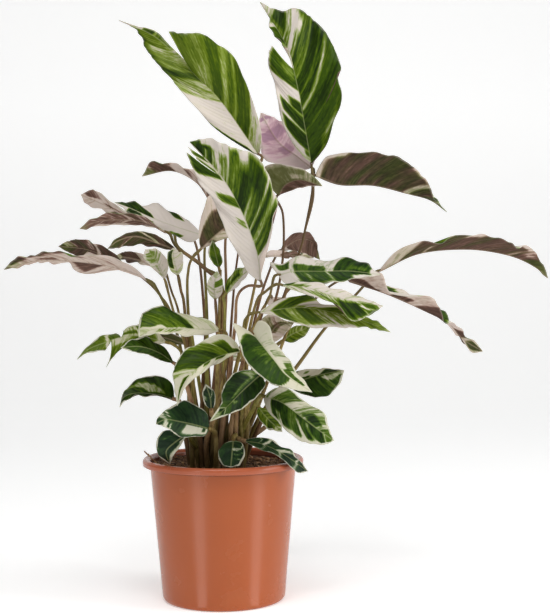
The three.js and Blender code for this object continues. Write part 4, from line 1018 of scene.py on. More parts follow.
left, right, both = (partial(band, side) for side in ("L", "R", "LR"))
ALL = (0, 1)
PAINT = {
    1: [
        left(0.48, ALL, streaks=0.4), left(0.07, (0, 0.3), (0, 0.21), streaks=0.15),
        left(0.95, (0, 0.03), (0, 0.08), (0.3, 1)), left(0.4, (0.3, 0.42), (0.21, 0.33), streaks=0.6),
        left(0.82, (0.43, 0.485), (0.32, 0.37), streaks=0.6),
        left(0.42, (0.49, 0.6), (0.47, 0.6), (0, 0.55), 0.7),
        left(PALE, (0.585, 0.63), None, (0.4, 0.85), 0.5), left(0.72, (0.635, 0.66), None, (0.2, 0.85)),
        left(0.53, (0.66, 0.85), streaks=0.4), left(0.15, (0.85, 1)),
        left(DEEP, (0.3, 0.8), None, (0.9, 1)), right(0.22, (0, 0.05)),
        right(0.33, (0.04, 0.09), (0.03, 0.07), streaks=0.8), right(0.75, (0.09, 0.19), (0.07, 0.18)),
        right(0.5, (0.19, 0.205), (0.18, 0.19)), right(0.72, (0.205, 0.25), (0.19, 0.21)),
        right(0.47, (0.25, 0.28), (0.21, 0.24), streaks=0.4), right(0.79, (0.28, 0.36), (0.24, 0.32)),
        right(0.55, (0.36, 0.44), (0.32, 0.41), streaks=0.5), right(0.66, (0.44, 0.5), (0.41, 0.5)),
        right(0.38, (0.5, 0.65), streaks=0.6), right(0.55, (0.65, 0.76), streaks=0.6),
        right(DEEP, (0.77, 0.84), None, (0, 0.8), 0.5), right(0.15, (0.85, 1)),
        right(0.12, (0, 0.07), None, (0.75, 1)),
    ],
    2: [
        left(CREAM, ALL, streaks=0.15), left(PALE, (0.015, 0.03)),
        left(0.7, (0.04, 0.07), None, (0, 0.2)), left(0.9, (0.075, 0.17), (0.09, 0.125), (0, 0.87)),
        left(0.86, (0.18, 0.262), (0.16, 0.205), (0, 0.84), 0.5),
        left(0.9, (0.27, 0.335), (0.2, 0.24), (0, 0.48)),
        left(DEEP, (0.4, 0.52), (0.35, 0.52), (0, 0.94), 0.5),
        left(0.62, (0.43, 0.5), None, (0.08, 0.5), 0.6),
        left(CREAM, (0.52, 0.63), (0.52, 0.53), streaks=0.4),
        left(0.5, (0.63, 0.67), (0.53, 0.57), streaks=0.7),
        left(DEEP, (0.67, 0.79), (0.57, 0.74), streaks=0.6), left(CREAM, (0.79, 0.815), (0.74, 0.78)),
        left(LIGHT, (0.815, 0.88), (0.78, 0.85)), left(0.12, (0.88, 1)), right(0.85, ALL, streaks=0.35),
        right(MID, (0, 0.1), None, (0.5, 0.9), 0.8), right(0.75, (0.1, 0.2)),
        right(0.33, (0.283, 0.315), (0.355, 0.38), (0, 0.97), 0.4),
        right(PALE, (0.26, 0.28), (0.38, 0.41), (0.8, 1)),
        right(0.88, (0.32, 0.365), (0.385, 0.42), streaks=0.5), right(0.55, (0.368, 0.38), (0.42, 0.43)),
        right(0.92, (0.385, 0.455), (0.43, 0.49)), right(0.42, (0.46, 0.478), (0.5, 0.52)),
        right(0.74, (0.48, 0.565), (0.52, 0.6), streaks=0.6), right(PALE, (0.57, 0.6), (0.61, 0.63)),
        right(CREAM, (0.605, 0.655), (0.63, 0.68), streaks=0.5),
        right(CREAM, (0.57, 0.66), None, (0.6, 0.9)),
        right(0.36, (0.655, 0.72), (0.68, 0.74), streaks=0.7),
        right(0.82, (0.715, 0.83), (0.72, 0.81), (0.15, 0.95), 0.5),
        right(LIGHT, (0.73, 0.88), None, (0, 0.25), 0.5), right(0.15, (0.86, 1), (0.83, 1), streaks=0.6),
    ],
    3: [
        left(CREAM, ALL, streaks=0.12), left(0.42, (0.36, 0.41), (0.33, 0.37), (0.04, 0.32), 0.6),
        left(0.55, (0.5, 0.57), (0.33, 0.38), (0, 0.55), 0.7),
        left(0.85, (0.68, 0.72), (0.54, 0.72), (0.08, 0.96)), left(0.2, (0.72, 1), streaks=0.5),
        left(0.85, (0.73, 0.75), None, (0.2, 0.9)),
        left(0.78, (0.81, 0.865), (0.77, 0.82), (0.2, 0.95), 0.5), left(0.1, (0.9, 1)), right(DEEP, ALL),
        right(0.1, (0, 0.19), (0, 0.1)), right(0.72, (0.185, 0.26), (0.1, 0.2), streaks=0.6),
        right(PALE, (0.262, 0.305), (0.2, 0.25), streaks=0.4), right(0.85, (0.305, 0.345), (0.25, 0.29)),
        right(CREAM, (0.348, 0.362), (0.295, 0.32)),
        right(0.72, (0.366, 0.41), (0.33, 0.38), streaks=0.6), right(LIGHT, (0.4, 0.415), None, (0, 0.7)),
        right(0.88, (0.34, 0.48), (0.34, 0.48), (0.55, 0.9)),
        right(0.5, (0.42, 0.46), (0.4, 0.43), (0, 0.5), 0.7),
        right(0.96, (0.47, 0.55), (0.42, 0.5), (0, 0.75), 0.4),
        right(0.4, (0.55, 0.562), None, (0.1, 0.6)),
        right(0.74, (0.565, 0.65), (0.53, 0.65), streaks=0.7),
        right(CREAM, (0.48, 0.55), (0.5, 0.58), (0.78, 0.95)), right(CREAM, (0.655, 0.675), (0.64, 0.67)),
        right(0.33, (0.675, 0.81), streaks=0.8), right(DARK, (0.81, 0.95), None, (0, 0.68), 0.5),
        right(0.2, (0.85, 0.87), None, (0, 0.6)), right(CREAM, (0.66, 0.9), None, (0.75, 1)),
        right(CREAM, ALL, None, (0.97, 1)),
    ],
    4: [
        both(0.12, ALL), both(0.03, (0, 0.32), (0, 0.2), streaks=0.1),
        left(0.06, (0, 0.75), None, (0.45, 1)), both(0.22, (0.3, 0.6), (0.3, 0.48), (0, 0.78), 0.5),
        both(0.62, (0.33, 0.46), (0.3, 0.42), (0, 0.28), 0.6),
        both(0.82, (0.6, 0.74), (0.48, 0.62), (0, 0.85), 0.6),
        both(PALE, (0.74, 0.8), (0.62, 0.72), streaks=0.5), both(CREAM, (0.84, 1)),
        both(DARK, (0.89, 0.93), (0.8, 0.88), (0.2, 0.9)), right(CREAM, ALL, None, (0.86, 1)),
    ],
    5: [
        both(0.86, ALL, streaks=0.6), both(0.2, (0, 0.04)), left(0.35, (0.2, 0.62), None, (0.8, 1), 0.5),
        left(0.13, (0.66, 0.73), (0.62, 0.84)), right(0.16, (0.65, 0.7), (0.68, 0.72)),
        left(DEEP, (0.73, 0.85), None, (0.05, 0.6), 0.6), both(LIGHT, (0.86, 1), streaks=0.8),
        right(CREAM, (0, 0.1), None, (0.8, 1)), right(CREAM, (0.48, 0.66), None, (0.93, 1)),
    ],
    6: [
        left(MID, ALL, streaks=0.5), right(0.46, ALL, streaks=0.2), both(0.1, ALL, None, (0.9, 1)),
        right(0.25, (0.4, 0.66), (0.5, 0.72), (0.1, 0.4), 0.5), right(PALE, (0.66, 1), streaks=0.8),
        both(PALE, (0.92, 1)),
    ],
    7: [
        both(0.74, ALL, streaks=0.5), left(0.1, (0, 0.07), (0, 0.19), streaks=0.8),
        right(0.08, (0, 0.12), (0, 0.1)), both(0.25, (0.25, 0.27), (0.2, 0.225)),
        left(0.25, (0.73, 0.745), (0.63, 0.65)), right(PALE, (0.73, 0.745), (0.76, 0.78)),
        right(CREAM, (0.3, 0.4), None, (0.8, 1)), right(CREAM, (0.62, 0.75), None, (0.82, 1)),
        right(0.5, (0.74, 0.82), None, (0.5, 0.9), 0.7), both(0.5, (0.93, 1)),
    ],
    8: [
        both(0.1, ALL), left(0.75, (0, 0.3), (0, 0.04), streaks=0.6),
        right(0.75, (0, 0.2), (0, 0.14), (0, 0.3), 0.6), right(0.16, (0, 0.2), (0, 0.14), (0.3, 1)),
        both(0.7, (0.28, 0.4), None, (0, 0.3), 0.8), both(0.2, (0.4, 0.46), (0.4, 0.45)),
        both(DEEP, (0.46, 0.65), (0.44, 0.57), streaks=0.5), both(CREAM, (0.65, 0.74), (0.57, 0.68)),
        both(0.75, (0.75, 0.83), (0.72, 0.82)), both(0.06, (0.83, 0.86)),
        both(0.85, (0.87, 0.99), None, (0, 0.75)),
    ],
    9: [
        left(0.1, ALL), left(0.72, (0.05, 0.12), None, (0.3, 0.85), 0.6),
        left(0.75, (0.17, 0.45), (0.1, 0.3), (0, 0.42), 0.6),
        left(0.82, (0.53, 0.88), (0.55, 0.86), streaks=0.6),
        left(0.5, (0.68, 0.84), (0.74, 0.88), (0.2, 0.5), 0.7), right(0.08, ALL),
        right(DEEP, (0.16, 0.45), (0.12, 0.37), (0, 0.9), 0.5),
        right(PALE, (0.25, 0.27), (0.18, 0.2), (0.2, 0.7)),
        right(0.86, (0.475, 0.66), (0.39, 0.6), (0, 0.95)), right(0.9, (0.6, 0.88), None, (0, 0.62)),
    ],
    10: [
        left(0.08, ALL), left(DEEP, (0, 0.09), (0, 0.02), (0, 0.8), 0.6),
        left(0.4, (0.09, 0.25), (0.05, 0.1), (0, 0.35), 0.8),
        left(0.35, (0.74, 0.9), None, (0, 0.3), 0.6), right(0.2, ALL, streaks=0.9),
        right(0.5, (0.2, 0.5), None, (0.3, 1), 1.0),
        right(0.88, (0.52, 0.76), (0.5, 0.72), (0.15, 0.92), 0.6), right(0.62, (0.76, 0.92), streaks=0.5),
        right(0.1, (0.72, 0.76), (0.86, 0.92), (0.25, 0.8)),
    ],
    11: [
        both(0.2, ALL, streaks=0.5), left(0.76, (0.1, 0.24), streaks=0.6),
        left(0.15, (0.25, 0.44), (0.25, 0.4), (0.25, 1)), left(0.42, (0.25, 0.43), None, (0, 0.28), 0.7),
        left(0.66, (0.43, 0.62), streaks=0.7), left(0.58, (0.62, 0.95), streaks=0.4),
        right(0.76, (0.1, 0.2), (0.07, 0.16), streaks=0.5),
        right(0.42, (0.2, 0.27), (0.16, 0.24), streaks=0.6),
        right(0.78, (0.27, 0.38), (0.25, 0.38), (0, 0.8)), right(0.42, (0.38, 0.65), streaks=0.9),
        right(0.58, (0.65, 0.95), streaks=0.4), right(0.1, (0.08, 0.6), None, (0.86, 1)),
    ],
    12: [both(0.64, ALL, streaks=0.5), left(0.1, (0.05, 0.1), (0.1, 0.2)), both(LIGHT, (0.85, 1))],
    13: [
        both(0.1, (0, 0.3), (0, 0.2)), both(MID, (0.3, 0.72), (0.2, 0.6), streaks=0.7),
        both(0.2, (0.76, 1)),
    ],
    14: [
        both(0.2, ALL, streaks=0.7), both(LIGHT, (0.15, 0.2), (0.1, 0.13)),
        both(0.72, (0.42, 0.46), (0.27, 0.36), (0.2, 0.9), 0.6), both(0.04, (0.46, 0.64), (0.38, 0.5)),
        both(0.68, (0.64, 0.87), (0.5, 0.8), streaks=0.6), left(0.5, (0.86, 0.95)),
        right(CREAM, (0.85, 1)),
    ],
    15: [
        left(0.1, ALL), left(0.7, (0.12, 0.17), (0.02, 0.05)), left(0.7, (0.35, 0.42)),
        left(MID, (0.6, 0.68)), right(0.75, ALL, None, (0, 0.55), 0.8), right(0.08, ALL, None, (0.55, 1)),
    ],
    16: [
        both(0.03, ALL, streaks=0.1), right(DARK, (0.15, 0.25), (0.16, 0.27), (0.6, 1)),
        right(0.95, (0.55, 0.8), (0.64, 1.0), streaks=0.4), left(MID, (0.12, 0.25), None, (0.7, 1), 0.7),
        left(DARK, (0.7, 0.83), (0.4, 0.76), (0.12, 1), 0.4),
    ],
    17: [
        both(0.13, ALL), left(0.5, (0.4, 0.75), None, (0.06, 0.2), 0.5),
        left(MID, (0.74, 0.93), None, (0.3, 1), 0.6), right(0.72, (0.2, 0.6), (0.2, 0.5), streaks=0.6),
    ],
    18: [
        both(0.55, ALL, streaks=0.8), left(0.2, (0.05, 0.1), (0.02, 0.06)),
        left(0.25, (0.25, 0.3), (0.18, 0.22)), both(0.2, (0.42, 0.46), (0.34, 0.38)),
        right(0.15, (0.1, 0.75), None, (0.75, 1)), both(0.5, (0.84, 1)),
    ],
    19: [
        both(0.85, ALL, streaks=0.7), left(0.2, (0.28, 0.36), (0.38, 0.43)),
        right(0.25, (0.66, 0.68), (0.72, 0.74)),
    ],
    20: [
        left(0.17, ALL, streaks=0.4), left(0.68, (0.3, 0.75), None, (0.8, 1), 0.6),
        left(0.5, (0.62, 0.75), None, (0.1, 0.4), 0.6), left(0.9, (0.8, 0.93), None, (0.5, 1)),
        right(0.2, ALL), right(0.72, (0.32, 0.48), (0.28, 0.44), (0.05, 0.84), 0.5), both(MID, (0.95, 1)),
    ],
    21: [
        both(0.82, ALL, streaks=0.5), both(0.15, (0.38, 0.44), (0.24, 0.3)),
        left(LIGHT, (0.46, 0.55), (0.4, 0.46), (0.2, 1), 0.8),
        left(0.4, (0.72, 0.88), None, (0.2, 1), 0.5), right(0.2, (0.4, 0.6), (0.3, 0.5), (0.2, 1), 0.5),
    ],
    22: [
        both(0.13, ALL), both(PALE, (0.45, 0.62), (0.5, 0.7), (0, 0.8), 0.7),
        both(0.4, (0.62, 0.84), (0.7, 0.9), (0, 0.7), 0.7),
        left(0.25, (0.1, 0.5), None, (0.2, 0.45), 0.6),
    ],
    23: [both(0.15, ALL), both(DEEP, (0.4, 0.8))],
    24: [both(0.14, ALL), left(0.95, (0.2, 0.88), (0.18, 0.84), (0.28, 0.92))],
    25: [both(0.75, ALL), left(0.15, ALL, None, (0.8, 1))],
    26: [both(0.2, ALL, streaks=0.5), right(MID, (0.4, 0.6))],
    27: [
        left(0.42, ALL, streaks=0.9), left(0.85, (0.08, 0.62), (0.06, 0.5), (0.18, 0.5), 0.6),
        left(0.12, (0.7, 1)), right(PALE, ALL), right(0.06, ALL, None, (0.3, 1)),
    ],
    28: [
        both(0.12, ALL, streaks=0.4), both(0.65, (0.25, 0.9), None, (0, 0.25), 0.6),
        right(0.35, (0.3, 0.5), None, (0.2, 0.8), 0.8), both(MID, (0.85, 1)),
    ],
    29: [both(0.5, ALL, streaks=1.0)],
    30: [
        left(0.1, ALL, streaks=0.4), left(0.35, (0.45, 0.75), None, (0.1, 0.7), 0.9),
        right(0.12, ALL, streaks=0.4), right(0.9, (0.33, 0.41), (0.31, 0.4), streaks=0.4),
        right(0.72, (0.41, 0.79), (0.4, 0.83), (0.04, 1), 0.6),
        right(0.1, (0.66, 0.86), (0.7, 0.86), (0, 0.3)), right(0.25, (0.84, 1)),
    ],
    31: [
        both(0.64, ALL, streaks=0.6), both(0.12, (0, 0.1)), right(PALE, (0.3, 0.5), streaks=0.6),
        right(DEEP, (0.32, 0.5), None, (0.25, 0.5), 0.5), left(PALE, (0.38, 0.6), None, (0, 0.28), 0.6),
        right(0.82, (0.5, 0.62), streaks=0.5), both(CREAM, (0.63, 0.66), (0.56, 0.59)),
        both(MID, (0.67, 1), streaks=0.4),
    ],
    32: [both(0.88, ALL)],
    33: [both(0.7, ALL)],
    34: [
        both(0.09, ALL), left(0.85, (0.24, 0.37), (0.23, 0.28), (0, 0.24)),
        left(0.82, (0.45, 0.53), (0.44, 0.48), (0, 0.24)), left(PALE, (0.62, 0.7), None, (0, 0.3), 0.8),
        right(0.85, (0.03, 0.2), None, (0, 0.2), 0.5), right(DEEP, (0.1, 0.19), None, (0.1, 0.65)),
        right(LIGHT, (0.19, 0.33), (0.22, 0.41), streaks=0.6),
        right(0.86, (0.3, 0.61), (0.4, 0.63), streaks=0.35),
        right(0.33, (0.61, 0.69), (0.63, 0.72), streaks=0.7), right(0.08, (0.7, 0.95)),
        right(0.88, (0.7, 0.86), (0.9, 1.1), (0.1, 0.38)),
    ],
    35: [
        left(0.08, ALL, streaks=0.4), left(0.42, (0.33, 0.43), (0.36, 0.44), (0.2, 1), 0.9),
        left(0.4, (0.5, 0.66), None, (0.45, 1), 1.0),
        left(0.68, (0.62, 0.88), (0.6, 0.9), (0.1, 0.55), 0.5), right(0.08, ALL),
        right(DEEP, (0.08, 0.74), (0.16, 0.66)), right(0.62, (0.2, 0.45), (0.25, 0.5), (0, 0.5), 0.9),
    ],
    36: [
        both(0.9, ALL), right(0.35, (0.15, 0.42), (0.62, 0.72), (0.1, 1), 0.35),
        right(0.5, (0.5, 0.515), (0.77, 0.79)),
    ],
    37: [
        both(0.86, ALL), left(0.08, (0.08, 0.57), (0.1, 0.55), (0.3, 1)),
        left(0.08, (0.38, 0.57), None, (0.08, 0.34)), left(0.5, (0.2, 0.27), None, (0.6, 0.82), 0.8),
        left(0.88, (0.58, 0.9), streaks=0.4), right(0.9, (0, 0.5), streaks=0.4),
        right(0.7, (0.5, 0.85), streaks=0.7), right(0.22, (0.58, 0.68), (1.0, 1.15), (0.12, 0.6)),
        both(0.35, (0.88, 1), streaks=0.6),
    ],
    38: [
        # the grey stripe on the right is a painted sheen
        both(DARK, ALL), right(0.42, (0.1, 0.56), None, (0.14, 0.3), 0.3),
        right(0.42, (0.02, 0.15), None, (0.28, 0.9), 0.3),
        left(0.38, (0.565, 0.6), (0.1, 0.36), (0, 0.42)), both(0.7, (0.62, 0.71)),
        both(0.25, (0.71, 0.74)), both(PALE, (0.8, 1)),
    ],
    39: [
        left(0.42, ALL, streaks=1.0), left(0.12, (0.33, 0.42), streaks=0.6),
        left(PALE, (0.42, 0.62), None, (0.3, 1), 0.9),
        left(DEEP, (0.55, 0.75), (0.6, 0.8), (0.1, 0.6), 1.0),
        left(PALE, (0.6, 0.85), None, (0.6, 1), 0.9), left(0.58, (0.86, 1)), right(0.1, (0, 0.13)),
        right(0.84, (0.13, 0.86), streaks=0.7), right(0.25, (0.2, 0.26), (0.2, 0.3), (0.4, 1), 0.8),
        right(0.2, (0.49, 0.53), (0.6, 0.66), (0.15, 0.9), 0.5),
        right(PALE, (0.62, 0.66), (0.75, 0.8), (0.1, 0.9), 0.6), right(0.58, (0.87, 1)),
        right(0.06, (0, 0.8), None, (0.87, 1)),
    ],
    40: [both(0.7, ALL, streaks=0.9), both(LIGHT, (0.72, 0.9), None, (0.2, 1), 0.6)],
    41: [
        # the pale band on the left is partly the fold's pale underside and partly a painted sheen
        both(0.88, ALL), left(0.04, (0.04, 0.5), None, (0.08, 0.78), 0.15),
        left(DARK, (0.09, 0.14), None, (0.1, 0.5), 0.6), both(0.12, (0.735, 0.755), (0.66, 0.7)),
        both(0.2, (0.79, 0.87), (0.74, 0.84), streaks=0.7),
    ],
    42: [
        both(0.95, ALL), left(0.06, (0, 0.25), None, (0.3, 1)), left(0.12, ALL, None, (0.62, 1)),
        right(0.4, (0.11, 0.13), (0.6, 0.62)),
    ],
    43: [
        both(DARK, ALL), both(0.42, (0, 0.12)), left(0.2, (0.42, 0.52), (0.06, 0.14)),
        left(PALE, (0.6, 0.63), (0.28, 0.32)), left(PALE, (0.7, 0.72), (0.5, 0.53)),
    ],
    44: [
        both(0.9, ALL, streaks=0.6), left(0.12, (0.26, 0.31), (0.15, 0.2)),
        left(0.25, (0.2, 0.22), (0.05, 0.08)), left(0.28, (0.47, 0.57), (0.55, 0.62), streaks=0.5),
        left(0.15, (0.76, 0.8), (0.68, 0.72)), right(0.12, (0.28, 0.31), (0.04, 0.07)),
        right(0.22, (0.5, 0.54), (0.3, 0.34)), right(0.2, (0.78, 0.82), (0.6, 0.65)),
    ],
    45: [
        both(DARK, ALL, streaks=0.6), left(0.4, (0.28, 0.46), None, (0.5, 1), 0.9),
        right(0.25, (0.43, 0.48), (0.66, 0.72)),
    ],
}
# how young the colours of a leaf are, or, below 0, how old
YOUNG = {
    1: 0.75, 2: 0.35, 3: 0.3, 4: 1.0, 9: -0.3, 11: 0.8, 24: 0.8, 25: 0.5, 27: 0.6, 29: 0.8, 30: 0.3,
    31: 0.6, 34: 0.5, 35: -0.3, 37: -0.3, 38: -0.4, 39: -0.3, 40: 0.6, 41: -1, 42: -1, 43: -1, 44: -1,
    45: -1,
}
# how green an underside is, or that of its left and right half
GREENISH = {
    4: -0.2, 5: (0.15, 0.42), 6: (0.1, 1), 7: (-0.1, 0.25), 8: 0, 12: 0.1, 13: 0.3, 14: 0.1, 15: 0.35,
    17: -1.2, 18: -0.3, 19: 0.4, 20: -0.2, 21: 0.3, 28: 0.4, 33: 0.5,
}


def own_marks(number):
    """Random marks, for the leaves at the back, which only other sides of the plant show."""
    random.seed(number)
    marks = [band("LR", 0.07, ALL)]
    for side in "LR":
        start = random.uniform(0.05, 0.2)
        while start < 0.9:
            width = random.uniform(0.05, 0.2)
            tone = random.choice((MID, DEEP, DARK, LIGHT))
            lean = random.uniform(-0.02, 0.05)
            reach = (0, random.uniform(0.6, 1.1))
            end = start + width
            streaks = random.uniform(0.2, 0.7)
            marks.append(band(side, tone, (start, end), (start + lean, end + lean), reach, streaks))
            start = end + random.uniform(0.03, 0.15)
    return marks


for number in range(len(PAINT) + 1, len(LEAVES) + 1):
    PAINT[number] = own_marks(number)
print("bands of colour:", sum(len(bands) for bands in PAINT.values()))

# %% [markdown]
# ## Blades
# A blade is a thin, closed solid. Its rows run from the rib out to the margin along the
# side veins, so anything that follows the veins, such as a pleat, a tear or a brush of
# colour, is a matter of rows. A subdivided plane bent by modifiers could not be torn so
# neatly. The upper layer comes first. The lower one follows half a millimetre below, with
# the midrib standing out round, and a narrow wall closes the margin.

# %% Blade surface
CROWDING = 1.25        # rows lie closer near the base
LEAN = 1.7             # how much the side veins lean forward
BEND, CUP, WAVE, WAVES = 0.14, 0.06, 0.06, 3
PLEAT, PLEAT_HEIGHT = 6.5, 0.28
RUFFLE, RUFFLE_HEIGHT, RUFFLE_DRIFT = 21, 1.3, 17
RAGGED, RAGGED_STEP = 0.55, 2.3
SCALLOP, SCALLOP_DEPTH = 17, 0.9
ROUGH_STEPS = 400
ROW_LENGTH, FEWEST_ROWS, MOST_ROWS = 1.7, 26, 120
ACROSS = np.array([0, 0.03, 0.07, 0.14, 0.24, 0.36, 0.5, 0.64, 0.78, 0.9, 1.0])
OWN_SHIFT, RUFFLE_SHIFT = 0.37, 0.71      # set the waves and noises of two leaves apart
BLADE_THICKNESS, RIB_HEIGHT, RIB_WIDTH = 0.45, 1.2, 1.1
SOFT_ALONG, SOFT_ACROSS = 0.01, 0.05      # how softly a band ends
BARE_TONE, BARE_STREAKS = 0.1, 0.3        # where no band lies
USUAL_YOUTH, USUAL_GREEN = 0.25, 0.15
TIP_START, TIP_SPAN, TIP_GREEN = 0.78, 0.15, 0.9      # undersides are greener at the tip
LOW_LEAVES, OLD_LEAVES = 30, 36           # the first low and the first old one of the list
NARROW, BROAD = 12, 30                    # below these widths, notches and scallops fade


def lobes_of(leaf, side):
    """(first share of the rib, last share, margin line) of each lobe of one side."""
    depths = Line(leaf["rib"])
    base, tip = leaf["rib"][0][:2], leaf["rib"][-1][:2]
    found, start = [], 0
    for lobe in side.get("lobes") or [dict(until=1, edge=side["edge"])]:
        until = lobe["until"]
        edge = [base] * (start == 0) + [tuple(p) for p in lobe["edge"]] + [tip] * (until == 1)
        edge = np.array(edge, float)
        steps = np.r_[0, np.cumsum(np.linalg.norm(np.diff(edge, axis=0), axis=1))]
        share = start + (until - start) * steps / steps[-1]
        lift = lobe.get("lift", side.get("lift", 0))
        depth = depths.at(share)[:, 2] + lift * np.sin(np.pi * share).clip(0) ** 0.8
        found.append((start, until, Line([seen((x, z, d)) for (x, z), d in zip(edge, depth)])))
        start = until
    return found


def soft_edge(edge, softness, x):
    """0 before an edge, 1 after it, and smooth in between."""
    low, high = edge - softness, edge + softness
    t = np.clip((x - low) / (high - low), 0, 1)
    return t * t * (3 - 2 * t)


def paint_at(bands, side, u, v):
    """Tone and streaks at shares u of the rib and v of the way out."""
    tone, streaks = np.full(u.shape, BARE_TONE), np.full(u.shape, BARE_STREAKS)
    for sides, value, rib, margin, (near, far), brushed in bands:
        if side not in sides:
            continue
        start = rib[0] + (margin[0] - rib[0]) * v ** 2
        end = rib[1] + (margin[1] - rib[1]) * v ** 2
        mask = np.ones(u.shape)
        if min(rib[0], margin[0]) > 0:
            mask *= soft_edge(start, SOFT_ALONG, u)
        if max(rib[1], margin[1]) < 1:
            mask *= 1 - soft_edge(end, SOFT_ALONG, u)
        if near > 0:
            mask *= soft_edge(near, SOFT_ACROSS, v)
        if far < 1:
            mask *= 1 - soft_edge(far, SOFT_ACROSS, v)
        tone += (value - tone) * mask
        streaks += (brushed - streaks) * mask
    return tone, streaks


def blade_half(leaf, number, side, lobe, shares):
    """Points, places and paint of one lobe: rows along the rib, and columns out from it."""
    start, until, margin_line = lobe
    sign = 1 if side == "R" else -1
    rib = rib_of(leaf)
    u = shares ** CROWDING
    first, last = start ** (1 / CROWDING), until ** (1 / CROWDING)
    step = ((shares - first) / (last - first)).clip(0, 1)
    reach = step ** (CROWDING / leaf.get("lean", LEAN)) if start == 0 else step
    here, along, margin = rib.at(u), rib.along(u), margin_line.at(reach)
    out = margin - here
    width = np.linalg.norm(out, axis=1, keepdims=True)
    rough = np.random.default_rng(number * 2 + (side == "R")).normal(0, 1, ROUGH_STEPS)
    rough = np.convolve(rough, (0.25, 0.5, 0.25), "same")
    notches = RAGGED * np.interp(u * rib.length / RAGGED_STEP, np.arange(ROUGH_STEPS), rough)
    slow = np.interp(u * rib.length / SCALLOP * 3, np.arange(ROUGH_STEPS), rough[::-1])
    notches += SCALLOP_DEPTH * slow * np.minimum(width[:, 0] / BROAD, 1)
    notches = notches[:, None]
    out = out * (1 + notches / np.maximum(width, NARROW))
    margin = here + out
    normal = np.cross(out, along) * sign
    normal = unit(normal + 0.2 * normal.mean(axis=0))
    middle = (here + margin) / 2 + CUP * width * normal - BEND * width * along
    v = ACROSS[None, :, None]
    ripple = WAVE * width * np.sin(2 * np.pi * WAVES * u + sign)[:, None]
    length = (u * rib.length)[:, None]
    pleats = PLEAT_HEIGHT * np.sin(2 * np.pi * (length / PLEAT + number * OWN_SHIFT))
    drift = 1.3 * np.sin(length / RUFFLE_DRIFT)
    ruffle = RUFFLE_HEIGHT * np.sin(2 * np.pi * (length / RUFFLE + number * RUFFLE_SHIFT) + drift)
    fade = np.minimum(width / NARROW, 1) * np.sin(np.pi * u).clip(0)[:, None] ** 0.5
    lift = ripple[:, None] * v ** 2
    lift = lift + (pleats * fade)[:, None] * np.sin(np.pi * v ** 0.8) + (ruffle * fade)[:, None] * v ** 3
    bow = (1 - v) ** 2 * here[:, None] + 2 * v * (1 - v) * middle[:, None] + v * v * margin[:, None]
    points = bow + lift * normal[:, None]
    uu, vv = np.broadcast_arrays(u[:, None], ACROSS[None, :])
    tone, streaks = paint_at(PAINT[number], side, uu, vv)
    own = np.full(uu.shape, number * OWN_SHIFT)
    place = np.stack([uu * rib.length * MM, vv * width * sign * MM, own], -1)
    paint = np.stack([tone, streaks, (1 - vv) * width * MM], -1)
    return points, place, paint


